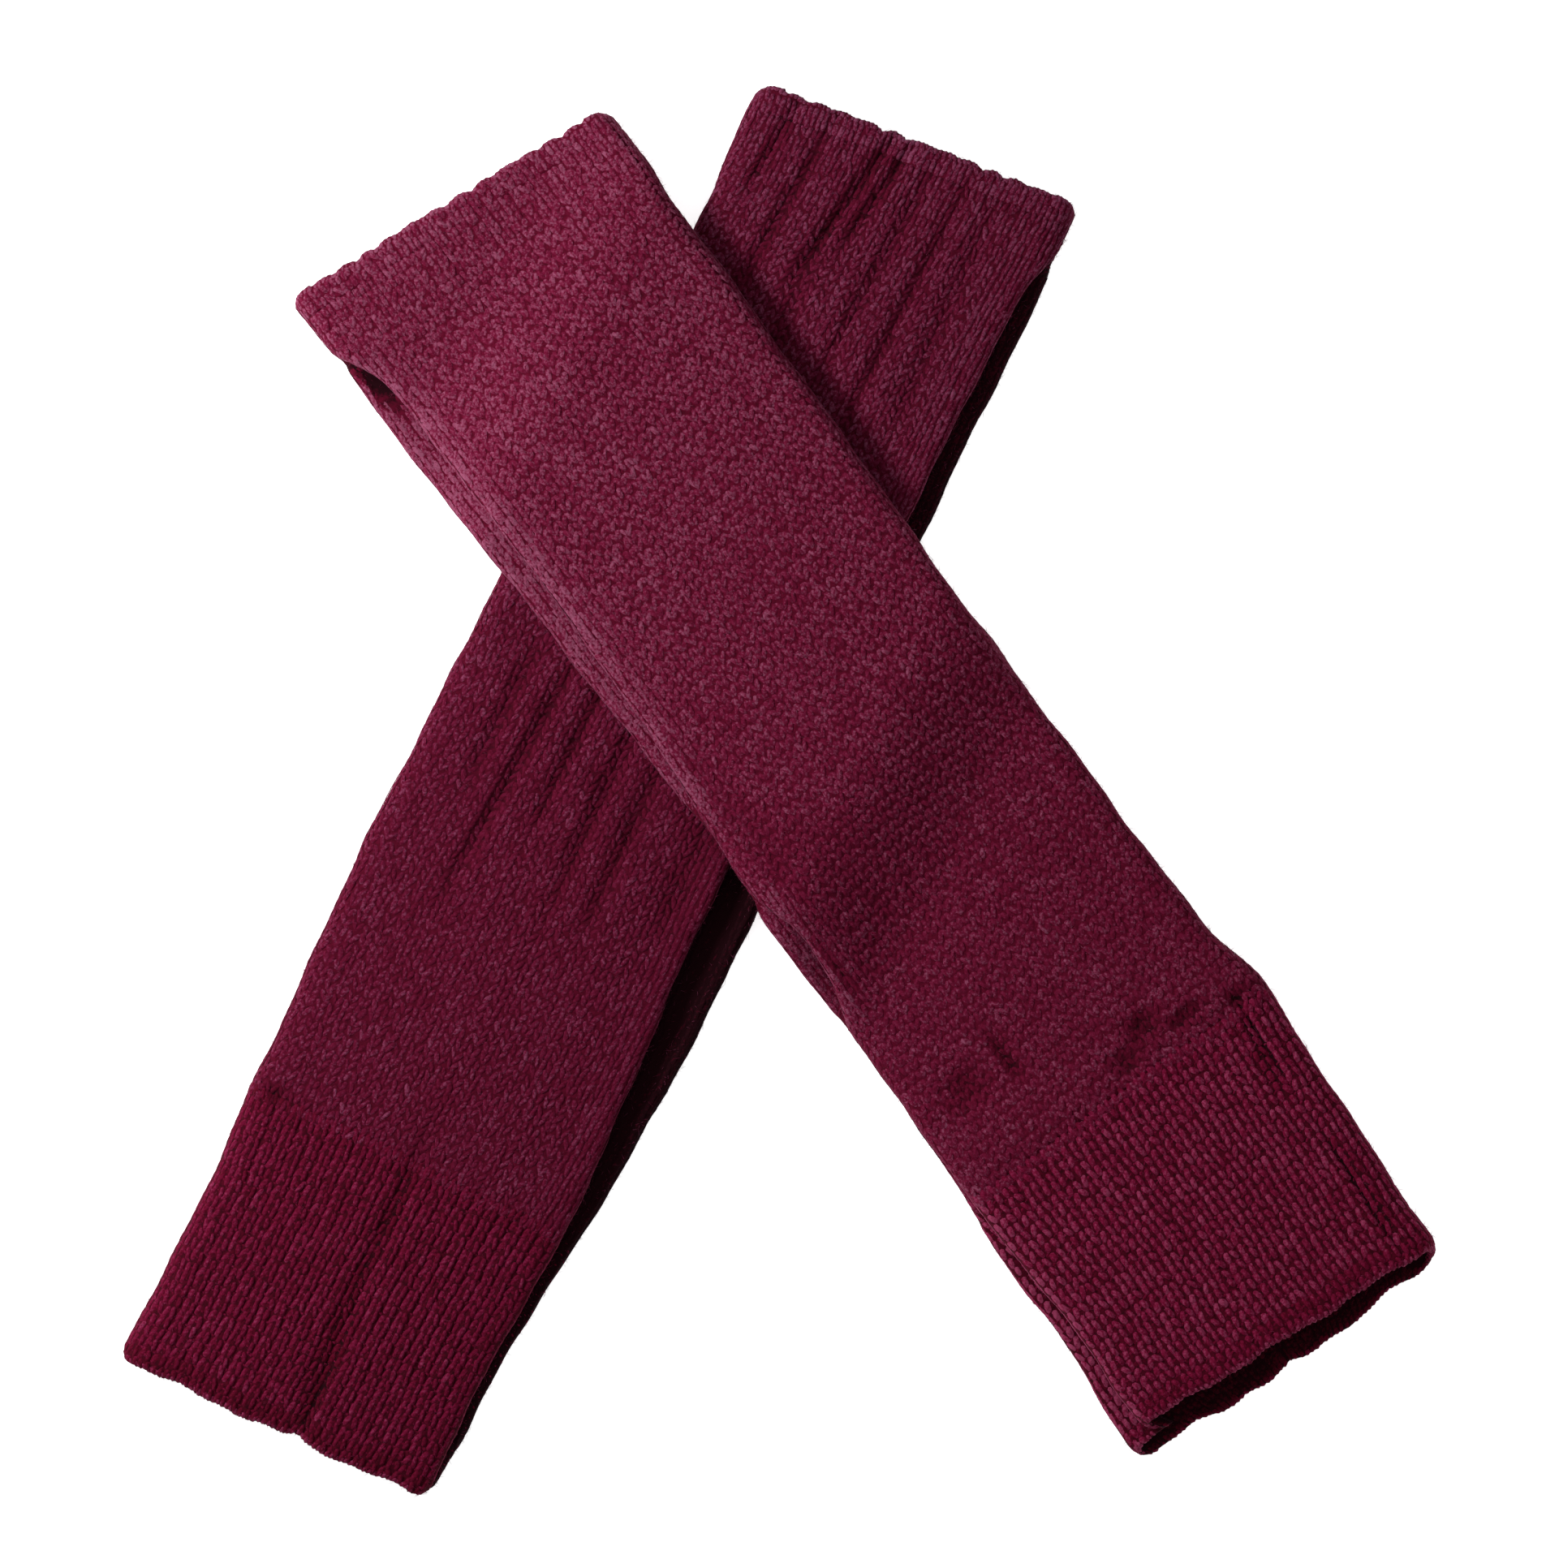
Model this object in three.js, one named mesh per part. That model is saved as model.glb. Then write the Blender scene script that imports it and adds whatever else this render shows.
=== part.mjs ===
// A pair of knitted leg warmers, laid flat and crossed, one over the other.
// Millimetres. +Z is up, the surface they lie on is z = 0, and +Y runs from the ankle cuffs to the tops.
import * as THREE from 'three';

const { lerp, clamp, smoothstep, degToRad } = THREE.MathUtils;

// Cloth and seams
const WALL = 2.4;
const SEAM_GAP = 0.3;
const REST_GAP = 0.3;

// Rounded side folds of the flattened tube, and the pleat that runs down one of them
const SIDE_REACH = 5;
const SIDE_WALL = 3.2;
const LOBE_REACH = 2.3;
const LOBE_SHARE = 0.48;
const PLEAT_GAP = 0.5;
const CREASE_DEPTH = 6;
const CREASE_WALL = 2.2;
const PLEAT_FORMED = 3;

// Crown of the front layer, and how far its folds fade before the sides
const CROWN = 1.3;
const SIDE_FADE_POWER = 6;
const DENT_END_POWER = 4;

// The under leg is pressed flat below the over leg, out to this distance from the over leg's centre line
const PRESSED_HEIGHT = 8.8;
const PRESS_REACH = 58;
const PRESS_FADE = 10;

// How far the over leg's two layers take to climb on to the under leg, and how clear of its folds that ends
const CLIMB_BELOW = 28;
const CLIMB_ABOVE = 40;
const CLIMB_CLEAR = 4;

// Hems: rounded corners, scalloped rim, thinned edge, and how far a slanted hem tilts the rows of knitting
const CORNER_RADIUS = 4.4;
const SCALLOP_DEPTH = 1.5;
const SCALLOP_FADE = 5;
const BACK_TUCK = 2.2;
const EDGE_THINNING = 0.6;
const EDGE_FADE = 3;
const TOP_TILT_FADE = 45;
const HEM_TILT_FADE = 34;

// Ribs of the cuffs and of the turned top edges
const RIB_HEIGHT = 0.8;
const POINTS_PER_RIB = 3;
const EDGE_RIB_HEIGHT = 0.5;

// Sections along each piece, and how strongly they crowd towards its hem
const EDGE_STEPS = 4;
const EDGE_CROWDING = 1.5;
const TUBE_STEPS = 30;
const TUBE_CROWDING = 1.15;
const CUFF_STEPS = 9;
const CUFF_CROWDING = 1.7;

// Points round a section
const BOTTOM_POINTS_FLAT = 3;
const BOTTOM_POINTS_DRAPED = 8;
const TOP_POINTS = 24;
const INNER_TOP_POINTS = 9;
const PLAIN_SIDE_DEGREES = [90, 60, 30, 0, -30, -60, -90];
const PLEAT_SIDE_DEGREES = [-90, -66, -42, -20, -8, 0, 8, 20, 42, 66, 90];
const LOBE_DEGREES = [-90, -45, 0, 45, 90];
const INNER_SIDE_DEGREES = [-45, 0, 45];

// The over leg. It runs from the upper left to the lower right, and its pleat is on the left.
// A section row gives the reach from the centre line to the plain side and to the pleated side,
// how far the front fold stands in from the pleated side, and the height of the folds.
const OVER_LEG = {
  name: 'over_leg',
  top: { x: -92.12, y: 163.42 },
  heading: -53.92,
  pleatSign: -1,
  topHem: -2.8,
  topSeam: 5.2,
  cuffSeam: 311,
  hem: 394,
  topSlant: 0.081,
  hemSlant: 0.075,
  backHem: { drop: 8, slant: 0.035, bow: 2.5 },
  scallops: 12,
  ribs: 19,
  sections: [
    { along: -2, plain: 51.9, pleated: 52, inset: 0, height: 10.4 },
    { along: 16, plain: 52.2, pleated: 51.2, inset: 0, height: 10.2 },
    { along: 31, plain: 51.3, pleated: 50.6, inset: 6.8, height: 9.4 },
    { along: 60, plain: 51.6, pleated: 50.2, inset: 7.2, height: 8.8 },
    { along: 88, plain: 51.4, pleated: 48.6, inset: 7, height: 8.8 },
    { along: 128, plain: 51.3, pleated: 47.4, inset: 5.9, height: 8.8 },
    { along: 168, plain: 50.7, pleated: 45.8, inset: 3, height: 8.8 },
    { along: 190, plain: 51.4, pleated: 45.2, inset: 0.5, height: 9 },
    { along: 206, plain: 51.4, pleated: 46.3, inset: 1.5, height: 9 },
    { along: 220, plain: 51.7, pleated: 47.2, inset: 6, height: 9 },
    { along: 236, plain: 51.8, pleated: 47, inset: 5.4, height: 9 },
    { along: 254, plain: 51.9, pleated: 46.1, inset: 0.8, height: 9 },
    { along: 290, plain: 53.2, pleated: 46.9, inset: 1, height: 9.4 },
    { along: 306, plain: 56.8, pleated: 47.4, inset: 1.6, height: 9.9 },
    { along: 313, plain: 56.5, pleated: 48.3, inset: 2, height: 9.4 },
    { along: 336, plain: 55.2, pleated: 49, inset: 4, height: 9.4 },
    { along: 362, plain: 53.9, pleated: 48.7, inset: 4.6, height: 9.8 },
    { along: 382, plain: 52.8, pleated: 50.7, inset: 6, height: 10.4 },
    { along: 395, plain: 52.6, pleated: 51.8, inset: 7, height: 11.2 },
  ],
  dents: [
    { across: -19, along: 222, width: 13, length: 26, lean: 0.1, depth: 1 },
    { across: -29, along: 285, width: 8, length: 7, lean: 0, depth: 1.1 },
    { across: -14, along: 284, width: 4, length: 9, lean: 0, depth: 0.9 },
    { across: 18, along: 301, width: 11, length: 6, lean: 0, depth: 1.1 },
    { across: 42, along: 309, width: 10, length: 4, lean: 0, depth: 1.2 },
    { across: 8, along: 60, width: 16, length: 34, lean: 0.1, depth: 0.7 },
    { across: -34, along: 186, width: 5, length: 26, lean: -0.05, depth: 0.6 },
  ],
};

// The under leg. It runs from the upper right to the lower left, and its pleat is on the right.
const UNDER_LEG = {
  name: 'under_leg',
  top: { x: 38.08, y: 178.92 },
  heading: -116.65,
  pleatSign: 1,
  topHem: -4,
  topSeam: 4,
  cuffSeam: 316,
  hem: 401,
  topSlant: -0.094,
  hemSlant: -0.03,
  backHem: { drop: -1.5, slant: -0.03, bow: 0 },
  scallops: 11,
  ribs: 22,
  sections: [
    { along: -2, plain: 48, pleated: 47.6, inset: 0, height: 10.2 },
    { along: 10, plain: 48.1, pleated: 48.2, inset: 0.4, height: 10 },
    { along: 24, plain: 46.9, pleated: 49.6, inset: 4.6, height: 9.3 },
    { along: 38, plain: 46.4, pleated: 49.4, inset: 5.2, height: 8.8 },
    { along: 96, plain: 49.2, pleated: 50.1, inset: 6, height: 8.8 },
    { along: 160, plain: 51.3, pleated: 53.8, inset: 10.4, height: 8.8 },
    { along: 214, plain: 51.6, pleated: 55.8, inset: 12.6, height: 8.8 },
    { along: 241, plain: 52, pleated: 56.4, inset: 12.2, height: 9 },
    { along: 268, plain: 51.1, pleated: 55.7, inset: 9.6, height: 9 },
    { along: 298, plain: 49.9, pleated: 54, inset: 6.4, height: 9.4 },
    { along: 316, plain: 49.6, pleated: 52.6, inset: 4.4, height: 9.4 },
    { along: 334, plain: 48.6, pleated: 50.4, inset: 3.4, height: 9.4 },
    { along: 352, plain: 47.8, pleated: 48.9, inset: 2.8, height: 9.4 },
    { along: 380, plain: 48.2, pleated: 48.3, inset: 2.6, height: 9.8 },
    { along: 401, plain: 48.8, pleated: 47.6, inset: 1.2, height: 10.4 },
  ],
  dents: [
    { across: -39, along: 34, width: 3.2, length: 40, lean: -0.05, depth: 0.9 },
    { across: -26, along: 34, width: 3.2, length: 44, lean: -0.04, depth: 1 },
    { across: -11.5, along: 40, width: 3, length: 46, lean: -0.03, depth: 1.2 },
    { across: -3, along: 30, width: 2.8, length: 30, lean: 0, depth: 0.8 },
    { across: 5, along: 44, width: 3, length: 48, lean: 0.02, depth: 0.9 },
    { across: 16.5, along: 50, width: 3.2, length: 50, lean: 0.03, depth: 1 },
    { across: 28, along: 46, width: 3.4, length: 44, lean: 0.04, depth: 0.8 },
    { across: -33, along: 192, width: 3.4, length: 22, lean: 0, depth: 0.9 },
    { across: -23, along: 206, width: 3.2, length: 40, lean: -0.05, depth: 1.2 },
    { across: -11, along: 190, width: 3.2, length: 30, lean: 0, depth: 1 },
    { across: 2.5, along: 200, width: 3.2, length: 38, lean: 0.02, depth: 1 },
    { across: 14, along: 206, width: 3.4, length: 34, lean: 0.02, depth: 1 },
    { across: 34, along: 208, width: 4, length: 24, lean: 0, depth: 0.8 },
    { across: -42, along: 317, width: 4, length: 6, lean: 0, depth: 0.9 },
    { across: 3, along: 356, width: 3.4, length: 44, lean: 0.03, depth: 0.9 },
  ],
};

// How far the under leg reaches to either side of its centre line, with room for the climb to start
const UNDER_REACH = {
  plain: Math.max(...UNDER_LEG.sections.map((row) => row.plain)) + CLIMB_CLEAR,
  pleated: Math.max(...UNDER_LEG.sections.map((row) => row.pleated)) + CLIMB_CLEAR,
};

// Dyed yarn, a little paler where the cloth is stretched least
const TUBE_YARN = new THREE.MeshStandardMaterial({ color: 0x6a1c37, roughness: 0.95, metalness: 0 });
const CUFF_YARN = new THREE.MeshStandardMaterial({ color: 0x571530, roughness: 0.95, metalness: 0 });
const EDGE_YARN = new THREE.MeshStandardMaterial({ color: 0x6f2340, roughness: 0.95, metalness: 0 });

// One column of a table of sections, read at any distance along the leg on a smooth curve
function columnAt(rows, column, along) {
  const last = rows.length - 1;
  const place = clamp(along, rows[0].along, rows[last].along);
  let i = 0;
  while (i < last - 1 && place > rows[i + 1].along) {
    i += 1;
  }
  const slopeAt = (k) => {
    const before = rows[Math.max(k - 1, 0)];
    const after = rows[Math.min(k + 1, last)];
    return (after[column] - before[column]) / (after.along - before.along);
  };
  const span = rows[i + 1].along - rows[i].along;
  const u = (place - rows[i].along) / span;
  const rise = u * u * (3 - 2 * u);
  const start = u * (1 - u) * (1 - u) * span * slopeAt(i);
  const end = u * u * (1 - u) * span * slopeAt(i + 1);
  return lerp(rows[i][column], rows[i + 1][column], rise) + start - end;
}

// Distance to the nearer end of the cloth
function hemDistance(leg, along) {
  return Math.min(along - leg.topHem, leg.hem - along);
}

// How far a rounded corner pulls the side in, this near to the end of the cloth
function cornerInset(distance) {
  const left = clamp(1 - distance / CORNER_RADIUS, 0, 1);
  return CORNER_RADIUS * (1 - Math.sqrt(1 - left * left));
}

// The section sizes at this distance along the leg, with the corners of the hems rounded
function sectionSizes(leg, along) {
  const corner = cornerInset(hemDistance(leg, along));
  const inset = Math.max(columnAt(leg.sections, 'inset', along), 0);
  const pleated = columnAt(leg.sections, 'pleated', along) - corner;
  return {
    plain: columnAt(leg.sections, 'plain', along) - corner,
    pleated,
    front: pleated - inset,
    formed: smoothstep(inset, 0, PLEAT_FORMED),
    height: columnAt(leg.sections, 'height', along),
  };
}

// Unit vectors along and across a leg, seen from above
function directions(leg) {
  const angle = degToRad(leg.heading);
  const ahead = new THREE.Vector2(Math.cos(angle), Math.sin(angle));
  return { ahead, aside: new THREE.Vector2(-ahead.y, ahead.x) };
}

// A point given across and along one leg, as a point seen from above
function planPoint(leg, across, along) {
  const { ahead, aside } = directions(leg);
  const top = new THREE.Vector2(leg.top.x, leg.top.y);
  return top.addScaledVector(ahead, along).addScaledVector(aside, across);
}

// How far a point seen from above lies to the side of a leg's centre line
function offCentre(leg, plan) {
  const { aside } = directions(leg);
  return plan.clone().sub(new THREE.Vector2(leg.top.x, leg.top.y)).dot(aside);
}

// Depth of the folds and dents in the front layer
function dentDepth(leg, across, along) {
  let depth = 0;
  for (const dent of leg.dents) {
    const lengthwise = (along - dent.along) / dent.length;
    const sideways = (across - dent.across - dent.lean * (along - dent.along)) / dent.width;
    depth += dent.depth * Math.exp(-(sideways ** 2) - lengthwise ** DENT_END_POWER);
  }
  return depth;
}

// Height of the front layer's face: its crown, flattened under the other leg, less its dents
function faceHeight(leg, across, along, sizes) {
  const reach = across * leg.pleatSign > 0 ? sizes.front : sizes.plain;
  const share = clamp(Math.abs(across) / reach, 0, 1);
  let crown = CROWN * (1 - share * share);
  if (leg === UNDER_LEG) {
    const apart = Math.abs(offCentre(OVER_LEG, planPoint(leg, across, along)));
    crown *= smoothstep(apart, PRESS_REACH, PRESS_REACH + PRESS_FADE);
  }
  const thinning = EDGE_THINNING * (1 - smoothstep(hemDistance(leg, along), 0, EDGE_FADE));
  const fade = 1 - share ** SIDE_FADE_POWER;
  return sizes.height + crown - dentDepth(leg, across, along) * fade - thinning;
}

// Height of the surface under the over leg: the floor, or the under leg where the legs cross
function supportHeight(plan, climb) {
  const side = offCentre(UNDER_LEG, plan);
  const beyond = Math.max(-side - UNDER_REACH.plain, side - UNDER_REACH.pleated, 0);
  return (PRESSED_HEIGHT + REST_GAP) * (1 - smoothstep(beyond, 0, climb));
}

// A point on a half round fold that bulges out to an edge, between two heights
function foldPoint(edge, reach, low, high, degrees) {
  const angle = degToRad(degrees);
  return { across: edge - reach * (1 - Math.cos(angle)), z: lerp(low, high, (1 + Math.sin(angle)) / 2) };
}

// Points up the pleated side: a low lobe, the crease, and the front fold above it
function pleatedSide({ pleated, front, height, formed }) {
  const lobe = height * LOBE_SHARE;
  const folded = [
    ...LOBE_DEGREES.map((degrees) => foldPoint(pleated, LOBE_REACH, 0, lobe, degrees)),
    { across: front - CREASE_DEPTH, z: lobe + PLEAT_GAP / 2 },
    ...LOBE_DEGREES.map((degrees) => foldPoint(front, LOBE_REACH, lobe + PLEAT_GAP, height, degrees)),
  ];
  return PLEAT_SIDE_DEGREES.map((degrees, k) => {
    const plain = foldPoint(pleated, SIDE_REACH, 0, height, degrees);
    return { across: lerp(plain.across, folded[k].across, formed), z: lerp(plain.z, folded[k].z, formed) };
  });
}

// Points down the plain side, a simple rounded fold
function plainSide({ plain, height }) {
  return PLAIN_SIDE_DEGREES.map((degrees) => {
    const { across, z } = foldPoint(plain, SIDE_REACH, 0, height, degrees);
    return { across: -across, z };
  });
}

// Points strictly between two ends, evenly spaced
function between(start, end, count) {
  return Array.from({ length: count }, (_, k) => lerp(start, end, (k + 1) / (count + 1)));
}

// The outer outline of a section. Distances across are towards the pleated side here.
function outerRing(leg, along, { ribs, ribHeight, bottomPoints }) {
  const sizes = sectionSizes(leg, along);
  const pleat = pleatedSide(sizes);
  const plain = plainSide(sizes);
  const count = ribs > 0 ? ribs * POINTS_PER_RIB - 1 : TOP_POINTS;
  const right = pleat[pleat.length - 1].across;
  const left = plain[0].across;
  const face = between(right, left, count).map((across, k) => {
    const crest = ribs > 0 ? (1 - Math.cos(2 * Math.PI * (k + 1) / POINTS_PER_RIB)) / 2 : 0;
    return { across, z: faceHeight(leg, across * leg.pleatSign, along, sizes) + ribHeight * crest, crest };
  });
  const floor = between(plain[plain.length - 1].across, pleat[0].across, bottomPoints);
  return [...floor.map((across) => ({ across, z: 0 })), ...pleat, ...face, ...plain];
}

// The inner outline of a section, smooth and one wall inside the outer one
function innerRing(leg, along, { bottomPoints }) {
  const sizes = sectionSizes(leg, along);
  const pleatEnd = lerp(sizes.pleated - SIDE_WALL, sizes.front - CREASE_DEPTH - CREASE_WALL, sizes.formed);
  const plainEnd = -(sizes.plain - SIDE_WALL);
  const radius = (sizes.height - 2 * WALL) / 2;
  const middle = sizes.height / 2;
  const arc = (end, sign, degrees) => ({
    across: end - sign * radius * (1 - Math.cos(degToRad(degrees))),
    z: middle + radius * Math.sin(degToRad(degrees)),
  });
  const low = between(plainEnd, pleatEnd, bottomPoints).map((across) => ({ across, z: WALL }));
  const rising = INNER_SIDE_DEGREES.map((degrees) => arc(pleatEnd, 1, degrees));
  const high = between(pleatEnd, plainEnd, INNER_TOP_POINTS).map((across) => ({
    across,
    z: faceHeight(leg, across * leg.pleatSign, along, sizes) - WALL,
  }));
  const falling = INNER_SIDE_DEGREES.map((degrees) => arc(plainEnd, -1, -degrees));
  return [...low, ...rising, ...high, ...falling];
}

// How far along the leg a point moves, because the hems slant, bow and scallop
function hemShift(leg, across, along, layer, crest) {
  const topFade = 1 - smoothstep(along - leg.topSeam, 0, TOP_TILT_FADE);
  const hemFade = smoothstep(along, leg.hem - HEM_TILT_FADE, leg.hem);
  const share = across / leg.sections[0].plain;
  const rimFade = 1 - smoothstep(along - leg.topHem, 0, SCALLOP_FADE);
  const rim = lerp(BACK_TUCK, SCALLOP_DEPTH * (1 - crest), layer);
  const backHem = leg.backHem.drop + leg.backHem.slant * across - leg.backHem.bow * share * share;
  const hem = lerp(backHem, leg.hemSlant * across, layer);
  return leg.topSlant * across * topFade + rim * rimFade + hem * hemFade;
}

// A section point moved to its place in the pair
function placePoint(leg, along, point, height) {
  const across = point.across * leg.pleatSign;
  const layer = smoothstep(point.z, 0, height);
  const plan = planPoint(leg, across, along + hemShift(leg, across, along, layer, point.crest ?? 0));
  let lift = 0;
  if (leg === OVER_LEG) {
    const share = clamp(point.z / height, 0, 1);
    lift = lerp(supportHeight(plan, CLIMB_BELOW), supportHeight(plan, CLIMB_ABOVE), share);
  }
  return new THREE.Vector3(plan.x, plan.y, point.z + lift);
}

// Triangles that close the end of a wall between its outer and inner outlines
function endTriangles(outer, inner, facing) {
  const flat = [outer, inner].map((ring) => ring.map((point) => new THREE.Vector2(point.across, point.z)));
  const points = [...flat[0], ...flat[1]];
  return THREE.ShapeUtils.triangulateShape(flat[0], [flat[1]]).map(([a, b, c]) => {
    const turn = points[b].clone().sub(points[a]).cross(points[c].clone().sub(points[a]));
    return turn * facing > 0 ? [a, b, c] : [a, c, b];
  });
}

// A closed wall through a row of sections of one leg, which crowd towards the end called hem
function wallGeometry(leg, shape) {
  const { hem, seam, steps, crowding } = shape;
  const positions = [];
  const index = [];
  const order = (ring) => (leg.pleatSign > 0 ? ring : [...ring].reverse());
  const places = Array.from({ length: steps + 1 }, (_, k) => lerp(hem, seam, (k / steps) ** crowding));
  if (hem > seam) {
    places.reverse();
  }
  const sections = places.map((along) => ({
    along,
    outer: order(outerRing(leg, along, shape)),
    inner: order(innerRing(leg, along, shape)),
  }));
  const outerCount = sections[0].outer.length;
  const innerCount = sections[0].inner.length;
  const ringSize = outerCount + innerCount;
  for (const { along, outer, inner } of sections) {
    const { height } = sectionSizes(leg, along);
    for (const point of [...outer, ...inner]) {
      positions.push(...placePoint(leg, along, point, height).toArray());
    }
  }
  const skin = (count, offset, outwards) => {
    for (let k = 0; k < steps; k += 1) {
      for (let j = 0; j < count; j += 1) {
        const a = k * ringSize + offset + j;
        const b = k * ringSize + offset + (j + 1) % count;
        const c = b + ringSize;
        const d = a + ringSize;
        index.push(...(outwards ? [a, b, c, a, c, d] : [a, c, b, a, d, c]));
      }
    }
  };
  skin(outerCount, 0, true);
  skin(innerCount, outerCount, false);
  const cap = (section, first, facing) => {
    for (const face of endTriangles(section.outer, section.inner, facing * leg.pleatSign)) {
      index.push(...face.map((corner) => corner + first));
    }
  };
  cap(sections[0], 0, -1);
  cap(sections[steps], steps * ringSize, 1);
  const geometry = new THREE.BufferGeometry();
  geometry.setAttribute('position', new THREE.Float32BufferAttribute(positions, 3));
  geometry.setIndex(index);
  geometry.computeVertexNormals();
  return geometry;
}

function namedPiece(name, geometry, material) {
  const mesh = new THREE.Mesh(geometry, material);
  mesh.name = name;
  return mesh;
}

// The turned top edge, with its scalloped rim
function topEdge(leg) {
  const shape = {
    hem: leg.topHem,
    seam: leg.topSeam - SEAM_GAP / 2,
    steps: EDGE_STEPS,
    crowding: EDGE_CROWDING,
    ribs: leg.scallops,
    ribHeight: EDGE_RIB_HEIGHT,
    bottomPoints: BOTTOM_POINTS_FLAT,
  };
  return namedPiece(`${leg.name}_top_edge`, wallGeometry(leg, shape), EDGE_YARN);
}

// The plain knitted tube, the main length of the leg
function legTube(leg) {
  const shape = {
    hem: leg.topSeam + SEAM_GAP / 2,
    seam: leg.cuffSeam - SEAM_GAP / 2,
    steps: TUBE_STEPS,
    crowding: TUBE_CROWDING,
    ribs: 0,
    ribHeight: 0,
    bottomPoints: BOTTOM_POINTS_DRAPED,
  };
  return namedPiece(`${leg.name}_tube`, wallGeometry(leg, shape), TUBE_YARN);
}

// The ribbed ankle cuff
function ankleCuff(leg) {
  const shape = {
    hem: leg.hem,
    seam: leg.cuffSeam + SEAM_GAP / 2,
    steps: CUFF_STEPS,
    crowding: CUFF_CROWDING,
    ribs: leg.ribs,
    ribHeight: RIB_HEIGHT,
    bottomPoints: BOTTOM_POINTS_FLAT,
  };
  return namedPiece(`${leg.name}_cuff`, wallGeometry(leg, shape), CUFF_YARN);
}

function legWarmer(leg) {
  const group = new THREE.Group();
  group.add(topEdge(leg), legTube(leg), ankleCuff(leg));
  return group;
}

const pair = new THREE.Group();
pair.add(legWarmer(UNDER_LEG), legWarmer(OVER_LEG));

export default pair;
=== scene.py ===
"""A pair of knitted leg warmers, laid flat and crossed, one over the other.

Every length is in metres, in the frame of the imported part. Each leg is a flattened tube of three joined
lengths: a turned top edge, a plain tube and a ribbed cuff. Each length is a thin wall of ground cloth, with
the yarn strokes of its stitches laid over it.
"""

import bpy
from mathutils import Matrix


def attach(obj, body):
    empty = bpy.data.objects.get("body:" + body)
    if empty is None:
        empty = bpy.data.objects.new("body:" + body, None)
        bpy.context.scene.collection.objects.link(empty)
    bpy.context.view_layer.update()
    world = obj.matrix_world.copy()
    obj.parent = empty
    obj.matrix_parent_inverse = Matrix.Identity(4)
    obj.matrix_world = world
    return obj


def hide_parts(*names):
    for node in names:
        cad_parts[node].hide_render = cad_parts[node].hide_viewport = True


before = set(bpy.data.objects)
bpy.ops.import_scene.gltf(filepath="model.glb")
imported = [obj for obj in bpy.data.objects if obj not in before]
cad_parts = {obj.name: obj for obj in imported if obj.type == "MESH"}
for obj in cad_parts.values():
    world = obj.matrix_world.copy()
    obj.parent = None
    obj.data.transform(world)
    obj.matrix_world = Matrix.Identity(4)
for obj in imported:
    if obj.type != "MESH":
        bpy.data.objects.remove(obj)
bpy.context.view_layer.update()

import logging
import math
from dataclasses import dataclass, field, replace
from enum import Enum

import bmesh
import bpy
import numpy as np
from mathutils import Vector

LOG = logging.getLogger("leg_warmers")
BODY = "root"

Array = np.ndarray
Colour = tuple[float, float, float]


class Slot(Enum):
    """The material slots of the part."""

    TUBE = "tube_knit"
    RIB = "rib_knit"
    EDGE = "edge_knit"


@dataclass(frozen=True)
class Section:
    """One section of a leg: how far it reaches to its plain side and its pleated side, how far the front
    fold stands in from the pleated side, and the height of the folds."""

    along: float
    plain: float
    pleated: float
    inset: float
    height: float


@dataclass(frozen=True)
class Dent:
    """A soft trough in the front layer, which may lean to one side, and how much painted shade darkens the yarn's
    tone in it.
    """

    across: float
    along: float
    width: float
    length: float
    lean: float
    depth: float
    shade: float


@dataclass(frozen=True)
class BackHem:
    """How far the back layer's hem stands out past the front one, with its slant, its bow and its knobs."""

    drop: float
    slant: float
    bow: float
    knobs: float


@dataclass(frozen=True)
class Stitches:
    """The gauge of one length of knitting and the yarn strokes that each stitch shows."""

    course: float
    half_length: float
    half_width: float
    rise: float
    lift: float
    lean: float
    bend: float
    jitter: float


@dataclass(frozen=True)
class LegPlan:
    """The place, outline and gauge of one leg warmer, laid flat."""

    name: str
    top: tuple[float, float]
    heading: float
    pleat_sign: int
    top_hem: float
    top_seam: float
    cuff_seam: float
    hem: float
    top_slant: float
    hem_slant: float
    back_hem: BackHem
    scallops: int
    ribs: int
    wales: int
    sections: tuple[Section, ...]
    dents: tuple[Dent, ...]
    pocket: float
    pocket_length: float
    pocket_depth: float
    # painted shade in the pleat: in its pocket's hole and over its low lobe
    pocket_shade: float
    lobe_shade: float
    hem_notch: float
    body: Stitches
    turned: Stitches
    rib: Stitches
    purl: Stitches
    # painted shade over a whole leg: the under leg's copy of the same yarn is darker, as it gets less light
    painted_leg_shade: Colour
    # a painted highlight along the pleat's fold, where the light catches it; a negative value paints shade instead
    lip_painted_light: float
    cuff_tone: float
    seed: int

    @property
    def ahead(self) -> Array:
        """The direction from the top hem to the ankle, seen from above."""
        return np.array([math.cos(math.radians(self.heading)), math.sin(math.radians(self.heading))])

    @property
    def aside(self) -> Array:
        """The direction across the leg, seen from above."""
        return np.array([-self.ahead[1], self.ahead[0]])


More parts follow.
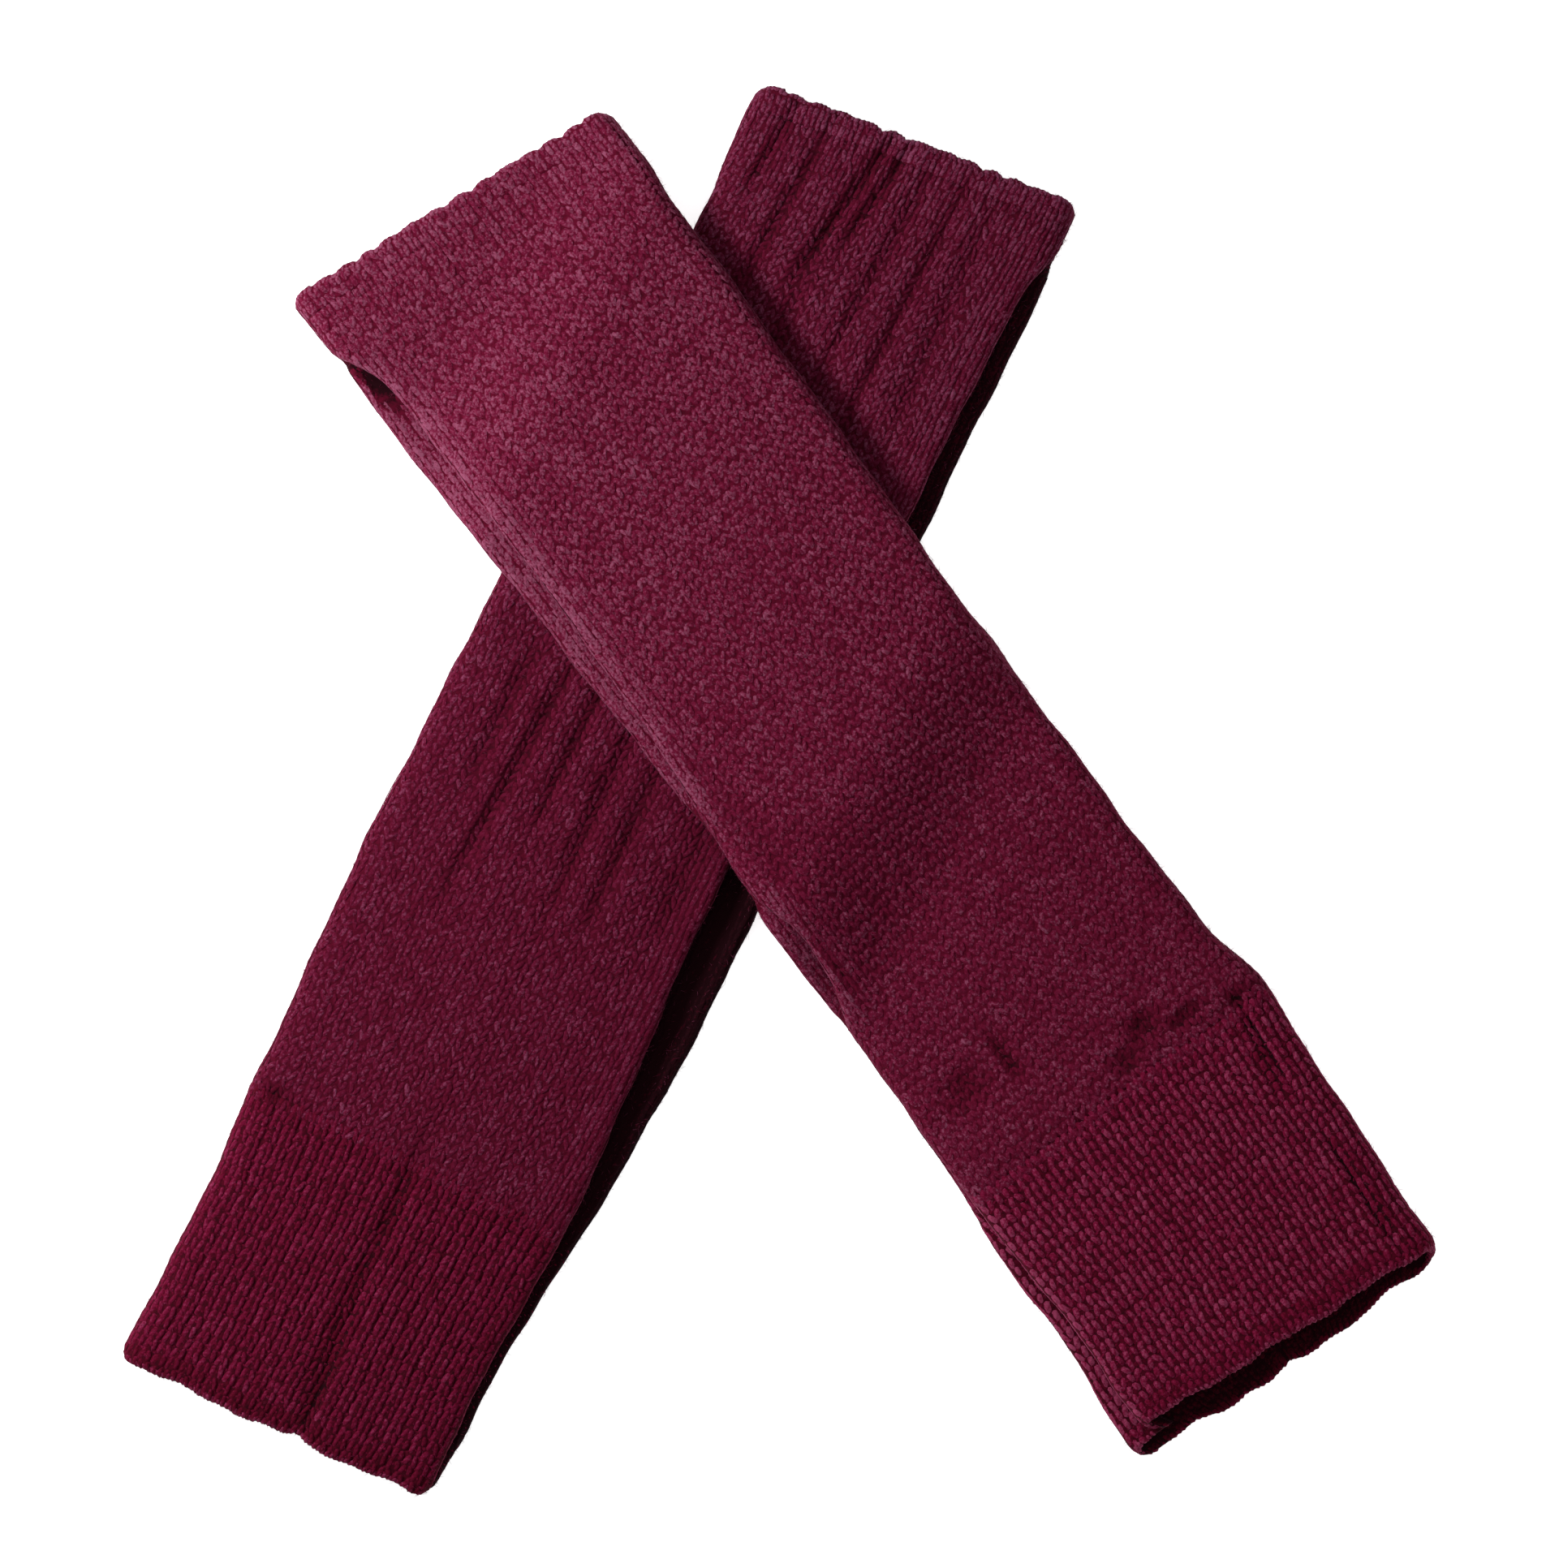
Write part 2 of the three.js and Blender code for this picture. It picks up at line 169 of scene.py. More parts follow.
OVER_LEG = LegPlan(
    name="over_leg",
    top=(-0.09212, 0.16342),
    heading=-53.92,
    pleat_sign=-1,
    top_hem=-0.0028,
    top_seam=0.0052,
    cuff_seam=0.311,
    hem=0.394,
    top_slant=0.081,
    hem_slant=0.075,
    back_hem=BackHem(drop=0.0078, slant=0.035, bow=0.0025, knobs=0.0014),
    scallops=12,
    ribs=19,
    wales=30,
    sections=(
        Section(-0.002, 0.0519, 0.0520, 0.0, 0.0104),
        Section(0.016, 0.0522, 0.0512, 0.0, 0.0102),
        Section(0.031, 0.0513, 0.0506, 0.0068, 0.0094),
        Section(0.060, 0.0516, 0.0502, 0.0072, 0.0088),
        Section(0.088, 0.0514, 0.0486, 0.0070, 0.0088),
        Section(0.128, 0.0513, 0.0474, 0.0059, 0.0088),
        Section(0.168, 0.0507, 0.0458, 0.0030, 0.0088),
        Section(0.190, 0.0514, 0.0452, 0.0005, 0.0090),
        Section(0.206, 0.0514, 0.0463, 0.0015, 0.0090),
        Section(0.220, 0.0517, 0.0472, 0.0060, 0.0090),
        Section(0.236, 0.0518, 0.0470, 0.0054, 0.0090),
        Section(0.254, 0.0519, 0.0461, 0.0008, 0.0090),
        Section(0.290, 0.0532, 0.0469, 0.0010, 0.0094),
        Section(0.306, 0.0568, 0.0474, 0.0016, 0.0099),
        Section(0.313, 0.0565, 0.0483, 0.0020, 0.0094),
        Section(0.336, 0.0552, 0.0490, 0.0040, 0.0094),
        Section(0.362, 0.0539, 0.0487, 0.0046, 0.0098),
        Section(0.382, 0.0528, 0.0507, 0.0060, 0.0104),
        Section(0.395, 0.0526, 0.0518, 0.0070, 0.0112),
    ),
    dents=(
        Dent(-0.019, 0.222, 0.013, 0.026, 0.10, 0.0010, 0.08),
        Dent(0.008, 0.060, 0.016, 0.034, 0.10, 0.0007, 0.04),
        Dent(-0.034, 0.186, 0.005, 0.026, -0.05, 0.0006, 0.10),
        Dent(-0.0375, 0.233, 0.0010, 0.016, -0.08, 0.0006, 0.50),
        Dent(-0.0290, 0.285, 0.0060, 0.0055, 0.0, 0.0012, 0.45),
        Dent(-0.0140, 0.283, 0.0018, 0.007, 0.0, 0.0011, 0.85),
        Dent(0.0215, 0.2995, 0.0042, 0.0036, 0.0, 0.0014, 0.75),
        Dent(0.0125, 0.3050, 0.0042, 0.0034, 0.0, 0.0012, 0.60),
        Dent(0.0330, 0.3045, 0.0055, 0.0022, 0.0, 0.0013, 0.70),
        Dent(0.0490, 0.3085, 0.0036, 0.0016, 0.0, 0.0018, 0.75),
        Dent(0.0460, 0.322, 0.0013, 0.014, -0.10, 0.0012, 0.80),
        Dent(0.0425, 0.330, 0.0010, 0.010, -0.10, 0.0007, 0.45),
        Dent(0.0445, 0.372, 0.0014, 0.016, -0.06, 0.0010, 0.80),
    ),
    pocket=0.0285,
    pocket_length=0.0075,
    pocket_depth=0.0026,
    pocket_shade=1.5,
    lobe_shade=0.06,
    hem_notch=0.0,
    body=Stitches(0.0030, 0.00195, 0.00076, 0.00028, -0.00003, 0.42, 0.00012, 1.0),
    turned=Stitches(0.0030, 0.0020, 0.00076, 0.00030, -0.00003, 0.18, 0.0001, 0.9),
    rib=Stitches(0.0032, 0.0020, 0.00084, 0.00050, -0.00004, 0.20, 0.0001, 0.8),
    purl=Stitches(0.0032, 0.0008, 0.0004, 0.00024, -0.00022, 1.2, 0.0, 1.0),
    painted_leg_shade=(1.0, 1.0, 1.0),
    lip_painted_light=0.22,
    cuff_tone=0.50,
    seed=11,
)

UNDER_LEG = LegPlan(
    name="under_leg",
    top=(0.03808, 0.17892),
    heading=-116.65,
    pleat_sign=1,
    top_hem=-0.004,
    top_seam=0.004,
    cuff_seam=0.316,
    hem=0.401,
    top_slant=-0.094,
    hem_slant=-0.03,
    back_hem=BackHem(drop=-0.0015, slant=-0.03, bow=0.0, knobs=0.0),
    scallops=11,
    ribs=22,
    wales=29,
    sections=(
        Section(-0.002, 0.0480, 0.0476, 0.0, 0.0102),
        Section(0.010, 0.0481, 0.0482, 0.0004, 0.0100),
        Section(0.024, 0.0469, 0.0496, 0.0046, 0.0093),
        Section(0.038, 0.0464, 0.0494, 0.0052, 0.0088),
        Section(0.096, 0.0492, 0.0501, 0.0060, 0.0088),
        Section(0.160, 0.0513, 0.0538, 0.0104, 0.0088),
        Section(0.214, 0.0516, 0.0558, 0.0126, 0.0088),
        Section(0.241, 0.0520, 0.0564, 0.0122, 0.0090),
        Section(0.268, 0.0511, 0.0557, 0.0096, 0.0090),
        Section(0.298, 0.0499, 0.0540, 0.0064, 0.0094),
        Section(0.316, 0.0496, 0.0526, 0.0044, 0.0094),
        Section(0.334, 0.0486, 0.0504, 0.0034, 0.0094),
        Section(0.352, 0.0478, 0.0489, 0.0028, 0.0094),
        Section(0.380, 0.0482, 0.0483, 0.0026, 0.0098),
        Section(0.401, 0.0488, 0.0476, 0.0012, 0.0104),
    ),
    dents=(
        Dent(-0.0365, 0.012, 0.0016, 0.016, -0.06, 0.0014, 0.70),
        Dent(-0.0260, 0.030, 0.0020, 0.034, -0.06, 0.0012, 0.45),
        Dent(-0.0108, 0.020, 0.0019, 0.026, -0.16, 0.0017, 0.70),
        Dent(-0.0120, 0.062, 0.0026, 0.024, -0.05, 0.0010, 0.30),
        Dent(-0.0040, 0.014, 0.0018, 0.019, -0.14, 0.0015, 0.65),
        Dent(0.0050, 0.040, 0.0022, 0.040, -0.04, 0.0010, 0.30),
        Dent(0.0165, 0.046, 0.0021, 0.040, -0.02, 0.0012, 0.35),
        Dent(0.0280, 0.040, 0.0030, 0.034, 0.04, 0.0008, 0.20),
        Dent(-0.0330, 0.192, 0.0024, 0.022, 0.0, 0.0011, 0.35),
        Dent(-0.0230, 0.206, 0.0022, 0.036, -0.05, 0.0014, 0.45),
        Dent(-0.0110, 0.190, 0.0022, 0.026, 0.0, 0.0012, 0.40),
        Dent(0.0025, 0.200, 0.0024, 0.034, 0.02, 0.0012, 0.35),
        Dent(0.0140, 0.206, 0.0026, 0.030, 0.02, 0.0011, 0.35),
        Dent(0.0340, 0.208, 0.0040, 0.024, 0.0, 0.0009, 0.30),
        Dent(-0.0420, 0.317, 0.0050, 0.0024, 0.0, 0.0013, 0.50),
        Dent(0.0030, 0.350, 0.0030, 0.046, 0.03, 0.0010, 0.30),
        Dent(0.0062, 0.384, 0.0014, 0.014, 0.05, 0.0010, 0.40),
    ),
    pocket=0.22,
    pocket_length=0.06,
    pocket_depth=0.0018,
    pocket_shade=0.4,
    lobe_shade=1.45,
    hem_notch=0.0014,
    body=Stitches(0.0030, 0.00195, 0.00070, 0.00040, -0.00003, 0.40, 0.0001, 1.0),
    turned=Stitches(0.0030, 0.0020, 0.00070, 0.00040, -0.00003, 0.12, 0.0001, 0.9),
    rib=Stitches(0.0033, 0.0020, 0.00072, 0.00052, -0.00004, 0.14, 0.0001, 0.8),
    purl=Stitches(0.0033, 0.0008, 0.0004, 0.00024, -0.00022, 1.25, 0.0, 1.0),
    painted_leg_shade=(0.81, 0.71, 0.81),
    lip_painted_light=-0.05,
    cuff_tone=0.30,
    seed=23,
)


def smoothstep(value: Array, low: float, high: float) -> Array:
    """A soft step from 0 at low to 1 at high."""
    share = np.clip((value - low) / (high - low), 0.0, 1.0)
    return share * share * (3.0 - 2.0 * share)


def blend(start: Array, end: Array, share: Array) -> Array:
    """The value between start and end at this share of the way."""
    return start + (end - start) * share


def unit(vectors: Array) -> Array:
    """The same directions, one unit long."""
    return vectors / np.maximum(np.linalg.norm(vectors, axis=-1, keepdims=True), 1e-12)


@dataclass
class LegSurface:
    """The outer face of one flattened tube.

    It is read by girth and distance along the leg. Girth is 0 in the middle of the front layer and grows
    towards the pleated side, as far as the middle of the back layer.
    """

    plan: LegPlan
    other: LegPlan
    lies_over: bool
    side_reach: float = 0.005
    lobe_reach: float = 0.0023
    lobe_share: float = 0.48
    pleat_gap: float = 0.0005
    crease_depth: float = 0.006
    pleat_formed: float = 0.003
    crown: float = 0.0013
    side_fade_power: int = 6
    dent_end_power: int = 4
    pressed_height: float = 0.0088
    press_reach: float = 0.058
    press_fade: float = 0.010
    rest_gap: float = 0.0003
    climb_below: float = 0.028
    climb_above: float = 0.040
    climb_clear: float = 0.004
    corner_radius: float = 0.0044
    scallop_depth: float = 0.0012
    scallop_fade: float = 0.005
    back_tuck: float = 0.0022
    edge_thinning: float = 0.0006
    edge_fade: float = 0.003
    top_tilt_fade: float = 0.045
    hem_tilt_fade: float = 0.034
    rib_relief: float = 0.0004
    hole_reach: float = 0.0055
    lip_reach: float = 0.010
    lip_band: float = 0.0032
    rim_radius: float = 0.0012
    row_step: float = 0.001
    girth_step: float = 0.0005
    girth_reach: float = 0.135
    floor_points: int = 12
    arc_points: int = 9
    crease_points: int = 3
    face_points: int = 96
    side_points: int = 13

    def __post_init__(self) -> None:
        """Works out the tables that the surface is read from."""
        self.start = self.plan.top_hem + self.rim_radius
        self.end = self.plan.hem - self.rim_radius
        count = int(round((self.end - self.start) / self.row_step))
        self.stations = np.linspace(self.start, self.end, count + 1)
        across, height, crest, fold = self.outline(self.stations)
        self.points = self.place(across, self.stations[:, None], height, crest, fold)
        self.across_table = across * self.plan.pleat_sign
        ahead = np.gradient(self.points, self.stations, axis=0)
        wrapped = np.concatenate([self.points[:, -2:-1], self.points, self.points[:, 1:2]], axis=1)
        around = wrapped[:, 2:] - wrapped[:, :-2]
        self.ahead = unit(ahead)
        self.normals = unit(np.cross(around, ahead) * self.plan.pleat_sign)
        steps = np.hypot(np.diff(across, axis=1), np.diff(height, axis=1))
        length = np.concatenate([np.zeros((len(across), 1)), np.cumsum(steps, axis=1)], axis=1)
        first = self.floor_points + self.pleat_points
        middle = np.array([
            np.interp(0.0, -row[first:first + self.face_points], size[first:first + self.face_points])
            for row, size in zip(across, length)
        ])
        self.girths = middle[:, None] - length
        self.fill_even_tables()

    @property
    def pleat_points(self) -> int:
        """The number of outline points up the pleated side."""
        return 2 * self.arc_points + 2 * self.crease_points + 1

    def fill_even_tables(self) -> None:
        """Reads the surface again at even steps of girth."""
        count = int(round(2 * self.girth_reach / self.girth_step)) + 1
        even = np.linspace(-self.girth_reach, self.girth_reach, count)
        table = np.empty((len(self.stations), count, 10))
        values = np.concatenate(
            [self.points, self.normals, self.ahead, self.across_table[..., None]], axis=2)
        for row, girth in enumerate(self.girths):
            for column in range(values.shape[2]):
                table[row, :, column] = np.interp(even, girth[::-1], values[row, ::-1, column])
        self.table = table
        lobe_top = self.floor_points + self.arc_points - 1
        front_bottom = lobe_top + 2 * self.crease_points + 2
        self.crease_inner = self.girths[:, front_bottom]
        self.face_right = self.girths[:, self.floor_points + self.pleat_points - 1]
        self.face_left = self.girths[:, self.floor_points + self.pleat_points + self.face_points]
        self.girth_low = self.girths[:, -1]
        self.girth_high = self.girths[:, 0]

    def column(self, name: str, along: Array) -> Array:
        """Reads one column of the table of sections on a smooth curve.

        Args:
            name: the column.
            along: distances along the leg.

        Returns:
            The value at each distance.
        """
        rows = self.plan.sections
        x = np.array([row.along for row in rows])
        y = np.array([getattr(row, name) for row in rows])
        before = np.maximum(np.arange(len(x)) - 1, 0)
        after = np.minimum(np.arange(len(x)) + 1, len(x) - 1)
        slope = (y[after] - y[before]) / (x[after] - x[before])
        at = np.clip(along, x[0], x[-1])
        i = np.clip(np.searchsorted(x, at) - 1, 0, len(x) - 2)
        span = x[i + 1] - x[i]
        u = (at - x[i]) / span
        rise = blend(y[i], y[i + 1], u * u * (3 - 2 * u))
        return rise + u * (1 - u) ** 2 * span * slope[i] - u * u * (1 - u) * span * slope[i + 1]

    def hem_distance(self, along: Array) -> Array:
        """Distance to the nearer end of the cloth."""
        return np.minimum(along - self.plan.top_hem, self.plan.hem - along)

    def outline(self, along: Array) -> tuple[Array, Array, Array, Array]:
        """Works out the sections at these distances along the leg.

        Args:
            along: distances along the leg.

        Returns:
            Distance across towards the pleated side, height, scallop crest of each outline point, and the
            height of the folds. There is one row for each section.
        """
        left = np.clip(1 - self.hem_distance(along) / self.corner_radius, 0, 1)
        corner = self.corner_radius * (1 - np.sqrt(1 - left * left))
        inset = np.maximum(self.column("inset", along), 0)[:, None]
        waver = 0.00022 * np.sin(along / 0.0067 + self.plan.seed) + 0.00014 * np.sin(along / 0.0029)
        plain = (self.column("plain", along) - corner + waver)[:, None]
        pleated = (self.column("pleated", along) - corner - waver)[:, None]
        fold = self.column("height", along)[:, None]
        front = pleated - inset
        formed = smoothstep(inset, 0, self.pleat_formed)
        away = (along[:, None] - self.plan.pocket) / self.plan.pocket_length
        sunk = self.plan.pocket_depth * np.exp(-away ** 2)
        pleat_across, pleat_height = self.pleated_side(pleated, front, fold, formed, sunk)
        down = np.radians(np.linspace(90, -90, self.side_points))[None]
        plain_across = -(plain - self.side_reach * (1 - np.cos(down)))
        plain_height = fold * (1 + np.sin(down)) / 2
        share = (np.arange(self.face_points) + 1) / (self.face_points + 1)
        face_across = blend(pleat_across[:, -1:], plain_across[:, :1], share[None])
        face_height = self.face_height(face_across, along[:, None], plain, front, fold, share[None])
        uneven = share + 0.010 * np.sin(9 * share + self.plan.seed) + 0.004 * np.sin(31 * share)
        crest = np.abs(np.sin(math.pi * self.plan.scallops * uneven)) ** 0.8
        crest = 1 - (1 - crest) * (0.8 + 0.5 * np.sin(17 * share + self.plan.seed))
        floor = np.linspace(0, 1, self.floor_points + 1)[None]
        floor_right = pleat_across[:, :1] * floor[:, :-1]
        floor_left = plain_across[:, -1:] * floor[:, ::-1][:, 1:]
        across = np.concatenate([floor_right, pleat_across, face_across, plain_across, floor_left], axis=1)
        height = np.concatenate([
            np.zeros_like(floor_right), pleat_height, face_height, plain_height, np.zeros_like(floor_left),
        ], axis=1)
        crests = np.ones_like(height)
        first = self.floor_points + self.pleat_points
        crests[:, first:first + self.face_points] = crest[None]
        return across, height, crests, fold

    def pleated_side(
        self, pleated: Array, front: Array, fold: Array, formed: Array, sunk: Array,
    ) -> tuple[Array, Array]:
        """Points up the pleated side: a low lobe, the crease, and the front fold above it.

        Args:
            pleated: reach of the low lobe.
            front: reach of the front fold.
            fold: height of the folds.
            formed: 1 where the pleat is full, and 0 where the side is a plain fold.
            sunk: how far the low layer dips inside the crease.

        Returns:
            Distances across and heights, one row for each section.
        """
        lobe = fold * self.lobe_share
        upper = lobe + self.pleat_gap
        arc = np.radians(np.linspace(-90, 90, self.arc_points))[None]
        curve = 1 - np.cos(arc)
        rise = (1 + np.sin(arc)) / 2
        step = np.linspace(0, 1, self.crease_points + 2)[None, 1:-1]
        deep = front - self.crease_depth
        middle = lobe + self.pleat_gap / 2
        across = np.concatenate([
            pleated - self.lobe_reach * curve,
            blend(pleated - self.lobe_reach, deep, step),
            deep,
            blend(deep, front - self.lobe_reach, step),
            front - self.lobe_reach * curve,
        ], axis=1)
        dip = sunk * np.sin(math.pi / 2 * np.minimum(1, 2 * step))
        height = np.concatenate([
            lobe * rise,
            blend(lobe, middle, step) - dip,
            middle - sunk,
            blend(middle, upper, step) - sunk * (1 - step),
            blend(upper, fold, rise),
        ], axis=1)
        low = np.linspace(-90, -8, self.arc_points)
        inner = np.linspace(-6, 6, 2 * self.crease_points + 1)
        angles = np.radians(np.concatenate([low, inner, -low[::-1]]))[None]
        plain_across = pleated - self.side_reach * (1 - np.cos(angles))
        plain_height = fold * (1 + np.sin(angles)) / 2
        return blend(plain_across, across, formed), blend(plain_height, height, formed)

    def face_height(
        self, across: Array, along: Array, plain: Array, front: Array, fold: Array, share: Array,
    ) -> Array:
        """Height of the front layer: its crown, flattened under the other leg, less its dents.

        Args:
            across: distances across, towards the pleated side.
            along: distances along the leg.
            plain: reach of the plain side.
            front: reach of the front fold.
            fold: height of the folds.
            share: how far across the face each point lies, from the pleated side.

        Returns:
            The heights.
        """
        side = across * self.plan.pleat_sign
        part = np.clip(np.abs(across) / np.where(across > 0, front, plain), 0, 1)
        crown = self.crown * (1 - part * part)
        if not self.lies_over:
            apart = np.abs(self.off_centre(self.other, self.plan_point(self.plan, side, along)))
            crown = crown * smoothstep(apart, self.press_reach, self.press_reach + self.press_fade)
        depth = self.dent_sum(side, along, "depth")
        fade = 1 - part ** self.side_fade_power
        thinning = self.edge_thinning * (1 - smoothstep(self.hem_distance(along), 0, self.edge_fade))
        cuff = smoothstep(along, self.plan.cuff_seam - 0.002, self.plan.cuff_seam + 0.004)
        relief = self.rib_relief * cuff * (1 - np.cos(2 * math.pi * self.plan.ribs * share)) / 2
        return fold + crown - depth * fade - thinning + relief

    def dent_sum(self, side: Array, along: Array, name: str) -> Array:
        """One property of the dents, added up at these places."""
        total = np.zeros(np.broadcast(side, along).shape)
        for dent in self.plan.dents:
            lengthwise = (along - dent.along) / dent.length
            sideways = (side - dent.across - dent.lean * (along - dent.along)) / dent.width
            total += getattr(dent, name) * np.exp(-(sideways ** 2) - lengthwise ** self.dent_end_power)
        return total

    def front_reach(self, along: Array) -> Array:
        """How far the front fold reaches to the pleated side."""
        return self.column("pleated", along) - np.maximum(self.column("inset", along), 0)

    def formed(self, along: Array) -> Array:
        """1 where the pleat is full, and 0 where the side is a plain fold."""
        return smoothstep(self.column("inset", along), 0, self.pleat_formed)

    def shade(self, girth: Array, along: Array) -> Array:
        """How much painted shade darkens the yarn's tone in dents and under the pleat, where little light comes.

        Args:
            girth: girths.
            along: distances along the leg.

        Returns:
            What to take off the tone.
        """
        values = self.read(girth, along)
        dents = self.dent_sum(values[..., 9], along, "shade") * (values[..., 5] > 0)
        away = (along - self.plan.pocket) / self.plan.pocket_length
        out = values[..., 9] * self.plan.pleat_sign - self.front_reach(along)
        hole = np.exp(-away ** 2) * (1 - smoothstep(out, self.hole_reach * 0.4, self.hole_reach))
        # painted shade under the front fold: over the low lobe and in the pocket's hole
        lobe = self.plan.lobe_shade * self.formed(along) + self.plan.pocket_shade * hole
        return dents + lobe * (girth > self.row_value(self.crease_inner, along))

    def lip(self, girth: Array, along: Array) -> tuple[Array, Array]:
        """How far the stitches are drawn out along the pleat's fold, and how much painted highlight the fold itself
        gets.
        """
        back = self.row_value(self.face_right, along) - girth
        formed = self.formed(along)
        drawn = formed * (1 - smoothstep(back, self.lip_reach * 0.45, self.lip_reach))
        return drawn, formed * (1 - smoothstep(back, self.lip_band * 0.3, self.lip_band))

    @staticmethod
    def plan_point(plan: LegPlan, side: Array, along: Array) -> Array:
        """A point given across and along one leg, as a point seen from above."""
        return np.array(plan.top) + np.asarray(along)[..., None] * plan.ahead + side[..., None] * plan.aside

    @staticmethod
    def off_centre(plan: LegPlan, point: Array) -> Array:
        """How far a point seen from above lies to the side of a leg's centre line."""
        return (point - np.array(plan.top)) @ plan.aside

    def support(self, point: Array, climb: float) -> Array:
        """Height of what lies under the over leg: the floor, or the under leg where the legs cross."""
        side = self.off_centre(self.other, point)
        plain = max(row.plain for row in self.other.sections) + self.climb_clear
        pleated = max(row.pleated for row in self.other.sections) + self.climb_clear
        beyond = np.maximum(np.maximum(-side - plain, side - pleated), 0)
        return (self.pressed_height + self.rest_gap) * (1 - smoothstep(beyond, 0, climb))

    def place(self, across: Array, along: Array, height: Array, crest: Array, fold: Array) -> Array:
        """Moves section points to their place in the pair.

        Args:
            across: distances across, towards the pleated side.
            along: distances along the leg.
            height: heights over what the leg lies on.
            crest: 1 on a scallop's crest and between layers, and 0 in its notch.
            fold: height of the folds.

        Returns:
            The points.
        """
        plan = self.plan
        side = across * plan.pleat_sign
        layer = smoothstep(height / fold, 0, 1)
        share = side / plan.sections[0].plain
        top_fade = 1 - smoothstep(along - plan.top_seam, 0, self.top_tilt_fade)
        hem_fade = smoothstep(along, plan.hem - self.hem_tilt_fade, plan.hem)
        rim_fade = 1 - smoothstep(along - plan.top_hem, 0, self.scallop_fade)
        rim = blend(self.back_tuck, self.scallop_depth * (1 - crest), layer)
        back = plan.back_hem.drop + plan.back_hem.slant * side - plan.back_hem.bow * share * share
        back = back + plan.back_hem.knobs * (np.abs(np.sin(side / 0.0056 + 0.7 * np.sin(side / 0.013))) - 0.6)
        waver = 0.00045 * np.sin(side / 0.0052 + plan.seed) + 0.00025 * np.sin(side / 0.0021)
        notch = plan.hem_notch * (np.exp(-((side - 0.006) / 0.0024) ** 2))
        hem = blend(back, plan.hem_slant * side, layer) + waver - notch
        shift = plan.top_slant * side * top_fade + rim * rim_fade + hem * hem_fade
        point = self.plan_point(plan, side, along + shift)
        lift = np.zeros_like(height)
        if self.lies_over:
            part = np.clip(height / fold, 0, 1)
            lift = blend(self.support(point, self.climb_below), self.support(point, self.climb_above), part)
        return np.concatenate([point, (height + lift)[..., None]], axis=2)

    def row_value(self, values: Array, along: Array) -> Array:
        """A value that has one entry for each station, read at these distances along the leg."""
        return np.interp(along, self.stations, values)

    def ring(self, along: float) -> tuple[Array, Array, Array, Array]:
        """The points, normals, directions ahead and girths of the section at one distance."""
        place = np.clip((along - self.start) / (self.stations[1] - self.start), 0, len(self.stations) - 1)
        row = min(int(place), len(self.stations) - 2)
        share = place - row
        values = (self.points, self.normals, self.ahead, self.girths)
        point, normal, ahead, girth = (blend(value[row], value[row + 1], share) for value in values)
        return point, unit(normal), unit(ahead), girth

    def roll(self, base: Array, normal: Array, ahead: Array, past: Array, out: Array) -> Array:
        """Carries points round a hem's rim and on along the inner face.

        Args:
            base: points on the outer face.
            normal: outward normals there.
            ahead: directions along the leg there.
            past: how far past the rim's start each point lies, negative at the top hem.
            out: how far the point stands out of the cloth.

        Returns:
            The points.
        """
        radius = self.rim_radius
        way = ahead * np.sign(past)[..., None]
        turn = np.minimum(np.abs(past) / radius, math.pi)[..., None]
        inside = np.maximum(np.abs(past) - math.pi * radius, 0)[..., None]
        facing = normal * np.cos(turn) + way * np.sin(turn)
        level = unit(way * np.array([1.0, 1.0, 0.0]))
        point = base + way * radius * np.sin(turn) - level * inside - normal * radius * (1 - np.cos(turn))
        return point + facing * out[..., None]

    def read(self, girth: Array, along: Array) -> Array:
        """The rows of the even table at these places: point, normal, direction ahead and side."""
        row = np.clip((along - self.start) / (self.stations[1] - self.start), 0, len(self.stations) - 1.001)
        column = np.clip((girth + self.girth_reach) / self.girth_step, 0, self.table.shape[1] - 1.001)
        i = row.astype(int)
        j = column.astype(int)
        down = (row - i)[..., None]
        over = (column - j)[..., None]
        low = blend(self.table[i, j], self.table[i, j + 1], over)
        high = blend(self.table[i + 1, j], self.table[i + 1, j + 1], over)
        return blend(low, high, down)

    def lay(self, girth: Array, along: Array, out: Array) -> Array:
        """Points on the cloth or off it, past the hems too.

        Args:
            girth: girths.
            along: distances along the leg.
            out: how far each point stands out of the outer face.

        Returns:
            The points.
        """
        values = self.read(girth, along)
        past = along - np.clip(along, self.start, self.end)
        return self.roll(values[..., :3], unit(values[..., 3:6]), unit(values[..., 6:9]), past, out)


